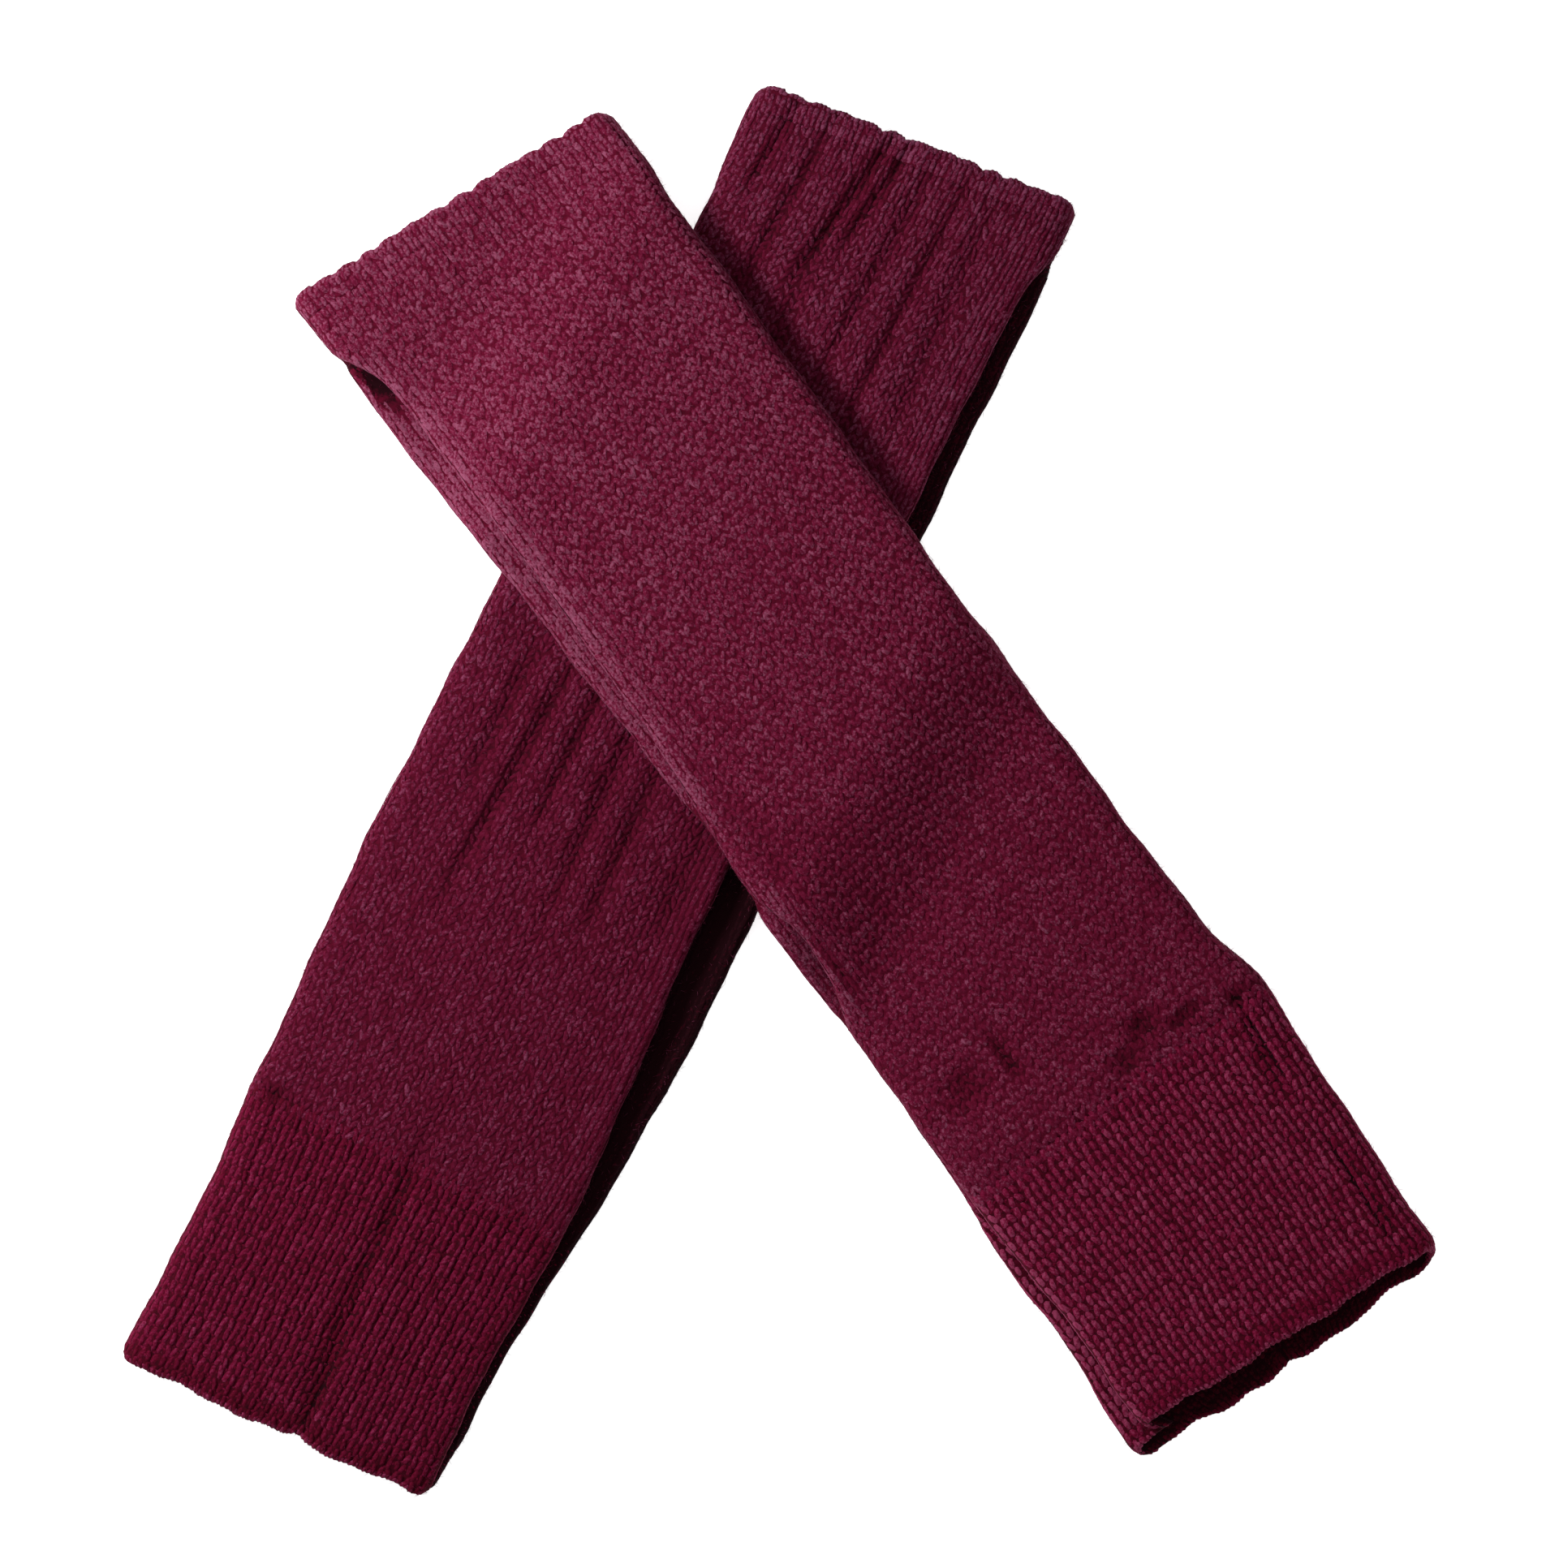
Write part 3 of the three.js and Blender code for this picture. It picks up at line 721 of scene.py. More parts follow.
@dataclass(frozen=True)
class YarnFinish:
    """Dyed acrylic yarn: the colours of its fibres and how it catches the light."""

    name: str
    deep: Colour
    body: Colour
    pale: Colour
    # the colour of painted shade, which the tone reaches below 0
    dark: Colour = (0.012, 0.0002, 0.0020)
    # painted shade that darkens every colour of a leg's copy of the finish
    painted_leg_shade: Colour = (1.0, 1.0, 1.0)
    roughness: float = 0.92
    sheen: float = 0.03
    sheen_tint: Colour = (0.95, 0.42, 0.60)
    sheen_roughness: float = 0.45
    shine: float = 0.08
    heather_scale: float = 1400.0
    fibre_scale: float = 3200.0
    bump_strength: float = 0.35
    bump_distance: float = 0.0002

    def on(self, plan: LegPlan) -> "YarnFinish":
        """This finish as it looks on one leg, darkened by that leg's painted shade."""
        return replace(self, name=f"{plan.name}_{self.name}", painted_leg_shade=plan.painted_leg_shade)

    def material(self) -> bpy.types.Material:
        """Makes the material of the yarn strokes.

        Returns:
            The material.
        """
        material, nodes, links = new_material(self.name)
        shader = nodes["Principled BSDF"]
        self.set_shader(shader)
        group = nodes.new("ShaderNodeGroup")
        group.node_tree = yarn_group()
        self.set_colours(group)
        group.inputs["Heather Scale"].default_value = self.heather_scale
        group.inputs["Fibre Scale"].default_value = self.fibre_scale
        tone = nodes.new("ShaderNodeAttribute")
        tone.attribute_name = "tone"
        place = nodes.new("ShaderNodeTexCoord")
        twist = nodes.new("ShaderNodeUVMap")
        twist.uv_map = "yarn"
        links.new(tone.outputs["Fac"], group.inputs["Tone"])
        links.new(place.outputs["Object"], group.inputs["Place"])
        links.new(twist.outputs["UV"], group.inputs["Twist"])
        self.finish_links(nodes, links, group, shader)
        return material

    def ground_material(self) -> bpy.types.Material:
        """Makes the material of the ground cloth, with its stitches drawn by the cloth's own map.

        Returns:
            The material.
        """
        material, nodes, links = new_material(f"{self.name}_ground")
        shader = nodes["Principled BSDF"]
        self.set_shader(shader)
        group = nodes.new("ShaderNodeGroup")
        group.node_tree = ground_group()
        self.set_colours(group)
        tone = nodes.new("ShaderNodeAttribute")
        tone.attribute_name = "tone"
        place = nodes.new("ShaderNodeTexCoord")
        stitches = nodes.new("ShaderNodeUVMap")
        stitches.uv_map = "stitches"
        links.new(tone.outputs["Fac"], group.inputs["Tone"])
        links.new(place.outputs["Object"], group.inputs["Place"])
        links.new(stitches.outputs["UV"], group.inputs["Stitches"])
        self.finish_links(nodes, links, group, shader)
        return material

    def set_shader(self, shader: bpy.types.Node) -> None:
        """Sets what is the same all over the yarn."""
        shader.inputs["Roughness"].default_value = self.roughness
        shader.inputs["Specular IOR Level"].default_value = self.shine
        shader.inputs["Sheen Weight"].default_value = self.sheen
        shader.inputs["Sheen Roughness"].default_value = self.sheen_roughness
        shader.inputs["Sheen Tint"].default_value = (*self.sheen_tint, 1.0)

    def set_colours(self, group: bpy.types.Node) -> None:
        """Gives a group this yarn's colours."""
        colours = {"Dark": self.dark, "Deep": self.deep, "Body": self.body, "Pale": self.pale}
        for socket, colour in colours.items():
            # every colour is darkened by the leg's painted shade
            group.inputs[socket].default_value = (*(a * b for a, b in zip(colour, self.painted_leg_shade)), 1.0)

    def finish_links(self, nodes, links, group: bpy.types.Node, shader: bpy.types.Node) -> None:
        """Joins a group's colour and relief to the shader."""
        bump = nodes.new("ShaderNodeBump")
        bump.inputs["Strength"].default_value = self.bump_strength
        bump.inputs["Distance"].default_value = self.bump_distance
        links.new(group.outputs["Color"], shader.inputs["Base Color"])
        links.new(group.outputs["Height"], bump.inputs["Height"])
        links.new(bump.outputs["Normal"], shader.inputs["Normal"])


def new_material(name: str):
    """A new material with nodes.

    Args:
        name: its name.

    Returns:
        The material, its nodes and its links.
    """
    material = bpy.data.materials.new(name)
    material.use_nodes = True
    return material, material.node_tree.nodes, material.node_tree.links


class GroupMaker:
    """Builds one shader node group."""

    def __init__(self, name: str, inputs: dict[str, str], outputs: dict[str, str]) -> None:
        """Makes the group and its sockets.

        Args:
            name: the group's name.
            inputs: socket types by name.
            outputs: socket types by name.
        """
        self.tree = bpy.data.node_groups.new(name, "ShaderNodeTree")
        for socket, kind in inputs.items():
            self.tree.interface.new_socket(socket, in_out="INPUT", socket_type=kind)
        for socket, kind in outputs.items():
            self.tree.interface.new_socket(socket, in_out="OUTPUT", socket_type=kind)
        self.given = self.tree.nodes.new("NodeGroupInput").outputs
        self.result = self.tree.nodes.new("NodeGroupOutput").inputs

    def join(self, value, socket: bpy.types.NodeSocket) -> None:
        """Links an output to a socket, or sets the socket's plain value."""
        if isinstance(value, bpy.types.NodeSocket):
            self.tree.links.new(value, socket)
        else:
            socket.default_value = value

    def math(self, operation: str, first, second=0.0, clamp: bool = False) -> bpy.types.NodeSocket:
        """One step of arithmetic.

        Args:
            operation: the Math node's operation.
            first: an output or a number.
            second: an output or a number.
            clamp: whether the result stays from 0 to 1.

        Returns:
            The result's socket.
        """
        node = self.tree.nodes.new("ShaderNodeMath")
        node.operation = operation
        node.use_clamp = clamp
        self.join(first, node.inputs[0])
        self.join(second, node.inputs[1])
        return node.outputs[0]

    def noise(self, place, scale, detail: float, roughness: float = 0.5) -> bpy.types.NodeSocket:
        """A noise pattern from 0 to 1.

        Args:
            place: the coordinates.
            scale: an output or a number.
            detail: the number of octaves.
            roughness: how strong the fine octaves are.

        Returns:
            The noise's socket.
        """
        node = self.tree.nodes.new("ShaderNodeTexNoise")
        self.join(place, node.inputs["Vector"])
        self.join(scale, node.inputs["Scale"])
        node.inputs["Detail"].default_value = detail
        node.inputs["Roughness"].default_value = roughness
        return node.outputs["Fac"]

    def parts(self, vector) -> tuple[bpy.types.NodeSocket, bpy.types.NodeSocket]:
        """The first two parts of a vector."""
        node = self.tree.nodes.new("ShaderNodeSeparateXYZ")
        self.join(vector, node.inputs[0])
        return node.outputs[0], node.outputs[1]

    def mix(self, share, first, second) -> bpy.types.NodeSocket:
        """The colour between two colours.

        Args:
            share: how far towards the second colour.
            first: a colour's socket.
            second: a colour's socket.

        Returns:
            The mixed colour's socket.
        """
        node = self.tree.nodes.new("ShaderNodeMix")
        node.data_type = "RGBA"
        self.join(share, node.inputs["Factor"])
        self.join(first, node.inputs["A"])
        self.join(second, node.inputs["B"])
        return node.outputs["Result"]

    def tint(self, tone) -> bpy.types.NodeSocket:
        """The yarn's colour at a tone from 0, deep, to 1, pale, with its body colour half way. Below 0 it goes on
        towards the dark colour, which is painted shade.
        """
        low = self.math("MULTIPLY", tone, 2.0, clamp=True)
        high = self.math("MULTIPLY_ADD", tone, 2.0, clamp=True)
        high.node.inputs[2].default_value = -1.0
        under = self.mix(low, self.given["Deep"], self.given["Body"])
        lit = self.mix(high, under, self.given["Pale"])
        # below 0 the tone runs into the dark colour: painted shade
        hidden = self.math("MULTIPLY", tone, -1.0, clamp=True)
        return self.mix(hidden, lit, self.given["Dark"])


YARN_COLOURS = {name: "NodeSocketColor" for name in ("Dark", "Deep", "Body", "Pale")}


def yarn_group() -> bpy.types.NodeTree:
    """The colour and relief of spun yarn: mixed fibres, and plies that twist round the strand.

    Returns:
        The node group, made once.
    """
    found = bpy.data.node_groups.get("spun_yarn")
    if found:
        return found
    maker = GroupMaker(
        "spun_yarn",
        {
            "Tone": "NodeSocketFloat", "Place": "NodeSocketVector", "Twist": "NodeSocketVector",
            "Heather Scale": "NodeSocketFloat", "Fibre Scale": "NodeSocketFloat", **YARN_COLOURS,
        },
        {"Color": "NodeSocketColor", "Height": "NodeSocketFloat"},
    )
    given = maker.given
    heather = maker.noise(given["Place"], given["Heather Scale"], 3.0, 0.6)
    fibre = maker.noise(given["Place"], given["Fibre Scale"], 2.0, 0.6)
    around, along = maker.parts(given["Twist"])
    turn = maker.math("ADD", maker.math("MULTIPLY", around, 2.0), maker.math("MULTIPLY", along, 3.0))
    ply = maker.math("ABSOLUTE", maker.math("SINE", maker.math("MULTIPLY", turn, math.pi)))
    mixed = maker.math("MULTIPLY", maker.math("SUBTRACT", heather, 0.5), 2.0)
    fine = maker.math("MULTIPLY", maker.math("SUBTRACT", fibre, 0.5), 0.9)
    twisted = maker.math("MULTIPLY", maker.math("SUBTRACT", ply, 0.6), 0.18)
    tone = maker.math("ADD", maker.math("ADD", given["Tone"], mixed), maker.math("ADD", fine, twisted))
    maker.join(maker.tint(tone), maker.result["Color"])
    height = maker.math("ADD", maker.math("MULTIPLY", ply, 0.7), maker.math("MULTIPLY", fibre, 0.6))
    maker.join(height, maker.result["Height"])
    return maker.tree


def ground_group() -> bpy.types.NodeTree:
    """The colour and relief of plain knitting, as rows of leaning stitch legs.

    Returns:
        The node group, made once.
    """
    found = bpy.data.node_groups.get("knitted_ground")
    if found:
        return found
    maker = GroupMaker(
        "knitted_ground",
        {
            "Tone": "NodeSocketFloat", "Place": "NodeSocketVector", "Stitches": "NodeSocketVector",
            **YARN_COLOURS,
        },
        {"Color": "NodeSocketColor", "Height": "NodeSocketFloat"},
    )
    given = maker.given
    across, along = maker.parts(given["Stitches"])
    wide = maker.math("COSINE", maker.math("MULTIPLY", across, 2 * math.pi))
    long = maker.math("COSINE", maker.math("MULTIPLY", maker.math("SUBTRACT", along, 0.4), 2 * math.pi))
    shape = maker.math("MULTIPLY_ADD", maker.math("MULTIPLY", wide, long), -0.5)
    shape.node.inputs[2].default_value = 0.5
    heather = maker.noise(given["Place"], 1150.0, 3.0, 0.6)
    mixed = maker.math("MULTIPLY", maker.math("SUBTRACT", heather, 0.5), 1.5)
    # painted light: the drawn stitch legs lighter, the gaps between them darker
    lit = maker.math("MULTIPLY", shape, 0.3)
    tone = maker.math("ADD", maker.math("ADD", given["Tone"], mixed), lit)
    maker.join(maker.tint(tone), maker.result["Color"])
    fibre = maker.noise(given["Place"], 3200.0, 2.0, 0.6)
    maker.join(maker.math("ADD", shape, maker.math("MULTIPLY", fibre, 0.2)), maker.result["Height"])
    return maker.tree


TUBE_FINISH = YarnFinish(
    "tube_yarn", deep=(0.084, 0.0009, 0.0125), body=(0.117, 0.0045, 0.0255), pale=(0.208, 0.0500, 0.0950))
CUFF_FINISH = YarnFinish(
    "cuff_yarn", deep=(0.090, 0.0003, 0.0110), body=(0.146, 0.0034, 0.0280), pale=(0.236, 0.0330, 0.0820))
EDGE_FINISH = YarnFinish(
    "edge_yarn", deep=(0.086, 0.0009, 0.0128), body=(0.119, 0.0048, 0.0265), pale=(0.212, 0.0520, 0.0980))


class StrokeTemplate:
    """One short length of yarn: a spindle with blunt ends, made from a sphere."""

    def __init__(self, sides: int, rings: int, bluntness: float = 0.55) -> None:
        """Makes the spindle and keeps its points, faces and map as arrays.

        Args:
            sides: faces round the yarn.
            rings: faces along it.
            bluntness: 1 leaves a pointed spindle, and a smaller number fills its ends.
        """
        bm = bmesh.new()
        bm.loops.layers.uv.new("yarn")
        bmesh.ops.create_uvsphere(bm, u_segments=sides, v_segments=rings, radius=1.0, calc_uvs=True)
        for vert in bm.verts:
            radius = math.hypot(vert.co.x, vert.co.y)
            if radius > 1e-4:
                vert.co.x *= radius ** (bluntness - 1)
                vert.co.y *= radius ** (bluntness - 1)
        bm.verts.index_update()
        uv = bm.loops.layers.uv.active
        self.points = np.array([vert.co[:] for vert in bm.verts])
        self.corners = np.array([loop.vert.index for face in bm.faces for loop in face.loops])
        self.sizes = np.array([len(face.verts) for face in bm.faces])
        self.map = np.array([loop[uv].uv[:] for face in bm.faces for loop in face.loops])
        self.level = np.abs(self.points[:, 1]) < 0.01
        bm.free()

    @property
    def triangles(self) -> int:
        """Triangles in one stroke."""
        return int((self.sizes - 2).sum())


@dataclass
class Strokes:
    """Yarn strokes of one kind, as arrays with an entry for each stroke."""

    girth: Array
    along: Array
    half_length: Array
    half_width: Array
    rise: Array
    lift: Array
    angle: Array
    bend: Array
    tone: Array

    def keep(self, mask: Array) -> "Strokes":
        """Only the strokes that the mask marks."""
        return Strokes(*(getattr(self, name)[mask] for name in self.__dataclass_fields__))

    @staticmethod
    def joined(several: list["Strokes"]) -> "Strokes":
        """All the strokes of several sets."""
        names = Strokes.__dataclass_fields__
        return Strokes(*(np.concatenate([getattr(one, name) for one in several]) for name in names))


@dataclass
class StrokeLayer:
    """The strokes of one piece, joined as one mesh."""

    name: str
    surface: LegSurface
    template: StrokeTemplate
    sunk_ends: float = 0.00028
    floor: float = 0.00004
    side_squash: float = 0.35
    side_stretch: float = 1.25
    cell_margin: float = 0.06
    # painted light over each stroke: lighter on top, darker below
    crest_painted_light: float = 0.14

    def points(self, strokes: Strokes) -> Array:
        """Bends each stroke over the cloth.

        Args:
            strokes: the strokes.

        Returns:
            Points, with one row for each stroke.
        """
        x, y, s = (self.template.points[None, :, k] for k in range(3))
        per = {name: getattr(strokes, name)[:, None] for name in strokes.__dataclass_fields__}
        upward = smoothstep(np.abs(self.surface.read(per["girth"], per["along"])[..., 5]), 0.2, 0.85)
        sideways = per["half_width"] * x + per["bend"] * (1 - s * s)
        lengthwise = per["half_length"] * s * blend(self.side_stretch, 1.0, upward)
        angle = per["angle"] * blend(self.side_squash, 1.0, upward)
        cos, sin = np.cos(angle), np.sin(angle)
        girth = per["girth"] + sideways * cos + lengthwise * sin
        along = per["along"] + lengthwise * cos - sideways * sin
        out = (per["lift"] + per["rise"] * y) * blend(self.side_squash, 1.0, upward) - self.sunk_ends * s ** 4
        points = self.surface.lay(girth, along, out)
        points[..., 2] = np.maximum(points[..., 2], self.floor)
        return points

    def build(self, strokes: Strokes, material: bpy.types.Material) -> bpy.types.Object:
        """Makes the mesh.

        Args:
            strokes: the strokes.
            material: the yarn's material.

        Returns:
            The object.
        """
        count = len(strokes.girth)
        size = len(self.template.points)
        points = self.points(strokes).reshape(-1, 3)
        corners = (self.template.corners[None] + np.arange(count)[:, None] * size).ravel()
        if self.surface.plan.pleat_sign > 0:
            corners = self.flipped(corners, count)
        sizes = np.tile(self.template.sizes, count)
        starts = np.concatenate([[0], np.cumsum(sizes)[:-1]])
        mesh = bpy.data.meshes.new(self.name)
        mesh.vertices.add(len(points))
        mesh.vertices.foreach_set("co", points.ravel())
        mesh.loops.add(len(corners))
        mesh.loops.foreach_set("vertex_index", corners)
        mesh.polygons.add(len(sizes))
        mesh.polygons.foreach_set("loop_start", starts)
        mesh.update(calc_edges=True)
        mesh.shade_smooth()
        self.crease_sides(mesh, size)
        yarn_map = mesh.uv_layers.new(name="yarn")
        yarn_map.uv.foreach_set("vector", np.tile(self.template.map, (count, 1)).ravel())
        bake_map = mesh.uv_layers.new(name="OFBake")
        bake_map.uv.foreach_set("vector", self.cells(count).ravel())
        tone = mesh.attributes.new("tone", "FLOAT", "POINT")
        # painted light: each stroke's top lighter and its underside darker
        shade = strokes.tone[:, None] + self.crest_painted_light * self.template.points[None, :, 1]
        tone.data.foreach_set("value", shade.ravel())
        mesh.materials.append(material)
        return add_object(self.name, mesh)

    def crease_sides(self, mesh: bpy.types.Mesh, size: int) -> None:
        """Marks each stroke's level sides as sharp, so its top is lit as the low mound that it is."""
        ends = np.empty(2 * len(mesh.edges), dtype=np.int32)
        mesh.edges.foreach_get("vertices", ends)
        level = self.template.level[ends % size].reshape(-1, 2).all(axis=1)
        sharp = mesh.attributes.new("sharp_edge", "BOOLEAN", "EDGE")
        sharp.data.foreach_set("value", level)

    def flipped(self, corners: Array, count: int) -> Array:
        """The corners of each face in the other order, for a surface that is mirrored."""
        rows = corners.reshape(count, -1)
        order = []
        first = 0
        for size in self.template.sizes:
            order += list(range(first + size - 1, first - 1, -1))
            first += size
        return rows[:, order].ravel()

    def cells(self, count: int) -> Array:
        """A map where each stroke has a square of its own."""
        across = math.ceil(math.sqrt(count))
        number = np.arange(count)
        corner = np.stack([number % across, number // across], axis=1)[:, None]
        inside = self.cell_margin + (1 - 2 * self.cell_margin) * self.template.map[None]
        return (corner + inside) / across


@dataclass
class FuzzLayer:
    """Loose fibre ends that stand off the yarn, joined as one mesh of thin spikes."""

    name: str
    surface: LegSurface
    length: float = 0.0016
    radius: float = 0.00006
    steepest: float = 0.9
    root_depth: float = 0.0002
    past_hem: float = 0.0012

    def build(self, girth: Array, along: Array, rng: np.random.Generator) -> bpy.types.Object:
        """Makes the fibres.

        Args:
            girth: the girth of each fibre's root.
            along: its distance along the leg.
            rng: the source of random numbers.

        Returns:
            The object, without its material.
        """
        spike = bmesh.new()
        bmesh.ops.create_cone(spike, cap_ends=True, segments=3, radius1=1.0, radius2=0.0, depth=1.0)
        spike.verts.index_update()
        x, y, s = np.array([vert.co[:] for vert in spike.verts]).T[:, None, :]
        faces = np.array([[vert.index for vert in face.verts] for face in spike.faces])
        spike.free()
        count = len(girth)
        size = x.shape[1]
        length = self.length * rng.uniform(0.5, 1.4, (count, 1))
        heading = rng.uniform(0, 2 * math.pi, (count, 1))
        tilt = self.steepest * rng.uniform(0.1, 1.0, (count, 1))
        reach = (s + 0.5) * length
        flat = reach * np.cos(tilt)
        side = x * self.radius
        ahead = along[:, None] + flat * np.cos(heading) - side * np.sin(heading)
        points = self.surface.lay(
            girth[:, None] + flat * np.sin(heading) + side * np.cos(heading),
            np.clip(ahead, self.surface.start - self.past_hem, self.surface.end + self.past_hem),
            self.root_depth + reach * np.sin(tilt) + y * self.radius,
        )
        points[..., 2] = np.maximum(points[..., 2], 0.00004)
        if self.surface.plan.pleat_sign > 0:
            faces = faces[:, ::-1]
        corners = (faces[None] + np.arange(count)[:, None, None] * size).ravel()
        mesh = bpy.data.meshes.new(self.name)
        mesh.vertices.add(count * size)
        mesh.vertices.foreach_set("co", points.ravel())
        mesh.loops.add(len(corners))
        mesh.loops.foreach_set("vertex_index", corners)
        mesh.polygons.add(len(corners) // 3)
        mesh.polygons.foreach_set("loop_start", np.arange(0, len(corners), 3))
        mesh.update(calc_edges=True)
        tone = mesh.attributes.new("tone", "FLOAT", "POINT")
        tone.data.foreach_set("value", np.repeat(rng.normal(0.75, 0.15, count), size))
        return add_object(self.name, mesh)


def add_object(name: str, mesh: bpy.types.Mesh) -> bpy.types.Object:
    """A new object in the scene, at the origin."""
    made = bpy.data.objects.new(name, mesh)
    bpy.context.scene.collection.objects.link(made)
    return made


class Hem(Enum):
    """Which end of a piece is a hem."""

    NONE = 0
    TOP = -1
    ANKLE = 1


@dataclass
class GroundCloth:
    """The thin wall of one piece, which its strokes lie on."""

    name: str
    surface: LegSurface
    seam: float
    far: float
    hem: Hem
    row_length: float
    stride: int
    inset: float = 0.00014
    rim_rows: int = 7
    flat_from: float = 0.35
    flat_to: float = 0.85

    def build(self, material: bpy.types.Material, tone: float, shaded_inside_tone: float) -> bpy.types.Object:
        """Makes the wall: out along its face, round the rim, back inside, and closed at the seam.

        Args:
            material: the ground's material.
            tone: the yarn's tone on the outer face, kept low as painted shade in the gaps between the strokes.
            shaded_inside_tone: the yarn's tone on the inner face, lower still as painted shade inside the tube.

        Returns:
            The object.
        """
        rows, tones, courses = [], [], []
        surface = self.surface
        count = max(2, int(round(abs(self.far - self.seam) / self.row_length)))
        places = np.linspace(self.seam, self.far, count + 1)
        wall = 2 * self.surface.rim_radius - self.inset
        rings = [self.surface.ring(place) for place in places]
        for place, (point, normal, _, around) in zip(places, rings):
            rows.append(point - normal * self.depth(normal, self.inset))
            # painted shade from dents and the pleat taken off the outer tone
            tones.append(tone - surface.shade(around, np.full(len(around), place)))
            courses.append(place)
        if self.hem is not Hem.NONE:
            self.add_rim(rings[-1], rows)
            share = np.arange(1, self.rim_rows) / self.rim_rows
            # round the rim the tone runs into the inner face's painted shade
            tones += [tones[-1] + (shaded_inside_tone - tones[-1]) * part for part in share]
            courses += list(self.far + self.hem.value * share * math.pi * self.surface.rim_radius)
        for place, (point, normal, _, _) in zip(places[::-1], rings[::-1]):
            rows.append(point - normal * wall)
            # the inner face: painted shade inside the tube
            tones.append(np.full(len(point), shaded_inside_tone))
            courses.append(place)
        columns = list(range(0, self.surface.points.shape[1], self.stride))
        if columns[-1] != self.surface.points.shape[1] - 1:
            columns.append(self.surface.points.shape[1] - 1)
        points = np.array(rows)[:, columns]
        points[..., 2] = np.maximum(points[..., 2], 0.0)
        girth = rings[0][3][columns]
        return self.wrap(points, girth, np.array(courses), np.array(tones)[:, columns], material)

    def depth(self, normal: Array, inset: float) -> Array:
        """How far the ground lies under the outer face, nothing where it rests on what is below."""
        resting = smoothstep(-normal[:, 2], self.flat_from, self.flat_to)
        return (inset * (1 - resting))[:, None]

    def add_rim(self, ring: tuple, rows: list[Array]) -> None:
        """Adds the rows that go round the hem's rim."""
        point, normal, ahead, _ = ring
        resting = smoothstep(-normal[:, 2], self.flat_from, self.flat_to)
        for row in range(1, self.rim_rows):
            share = row / self.rim_rows
            past = np.full(len(point), self.hem.value * share * math.pi * self.surface.rim_radius)
            out = -self.inset * (1 - resting * (1 - share))
            placed = self.surface.roll(point, normal, ahead, past, out)
            placed[:, 2] = np.maximum(placed[:, 2], 0.0)
            rows.append(placed)

    def wrap(
        self, points: Array, girth: Array, courses: Array, tones: Array, material: bpy.types.Material,
    ) -> bpy.types.Object:
        """Bends a flat grid into the wall and closes it.

        Args:
            points: where each grid point goes.
            girth: the girth of each column.
            courses: the distance along the leg of each row.
            tones: the tone of each grid point.
            material: the ground's material.

        Returns:
            The object.
        """
        plan = self.surface.plan
        rows, columns = points.shape[:2]
        bm = bmesh.new()
        bm.loops.layers.uv.new("stitches")
        bmesh.ops.create_grid(bm, x_segments=columns - 1, y_segments=rows - 1, size=1.0, calc_uvs=True)
        mesh = bpy.data.meshes.new(self.name)
        bm.to_mesh(mesh)
        flat = np.empty(len(mesh.vertices) * 3)
        mesh.vertices.foreach_get("co", flat)
        flat = flat.reshape(-1, 3)
        column = np.round((flat[:, 0] + 1) / 2 * (columns - 1)).astype(int)
        row = np.round((flat[:, 1] + 1) / 2 * (rows - 1)).astype(int)
        mesh.vertices.foreach_set("co", points[row, column].ravel())
        corners = np.empty(len(mesh.loops), dtype=np.int32)
        mesh.loops.foreach_get("vertex_index", corners)
        wale = (plan.sections[0].plain + plan.sections[0].pleated) / plan.wales
        stitch = np.stack([girth[column[corners]] / wale, courses[row[corners]] / plan.body.course], axis=1)
        mesh.uv_layers["stitches"].uv.foreach_set("vector", stitch.ravel())
        tone = mesh.attributes.new("tone", "FLOAT", "POINT")
        tone.data.foreach_set("value", tones[row, column])
        bm.clear()
        bm.from_mesh(mesh)
        bmesh.ops.remove_doubles(bm, verts=bm.verts, dist=1e-6)
        open_edges = [edge for edge in bm.edges if len(edge.link_faces) == 1]
        bmesh.ops.bridge_loops(bm, edges=open_edges)
        bmesh.ops.recalc_face_normals(bm, faces=bm.faces)
        bm.to_mesh(mesh)
        bm.free()
        mesh.shade_smooth()
        mesh.materials.append(material)
        return add_object(self.name, mesh)


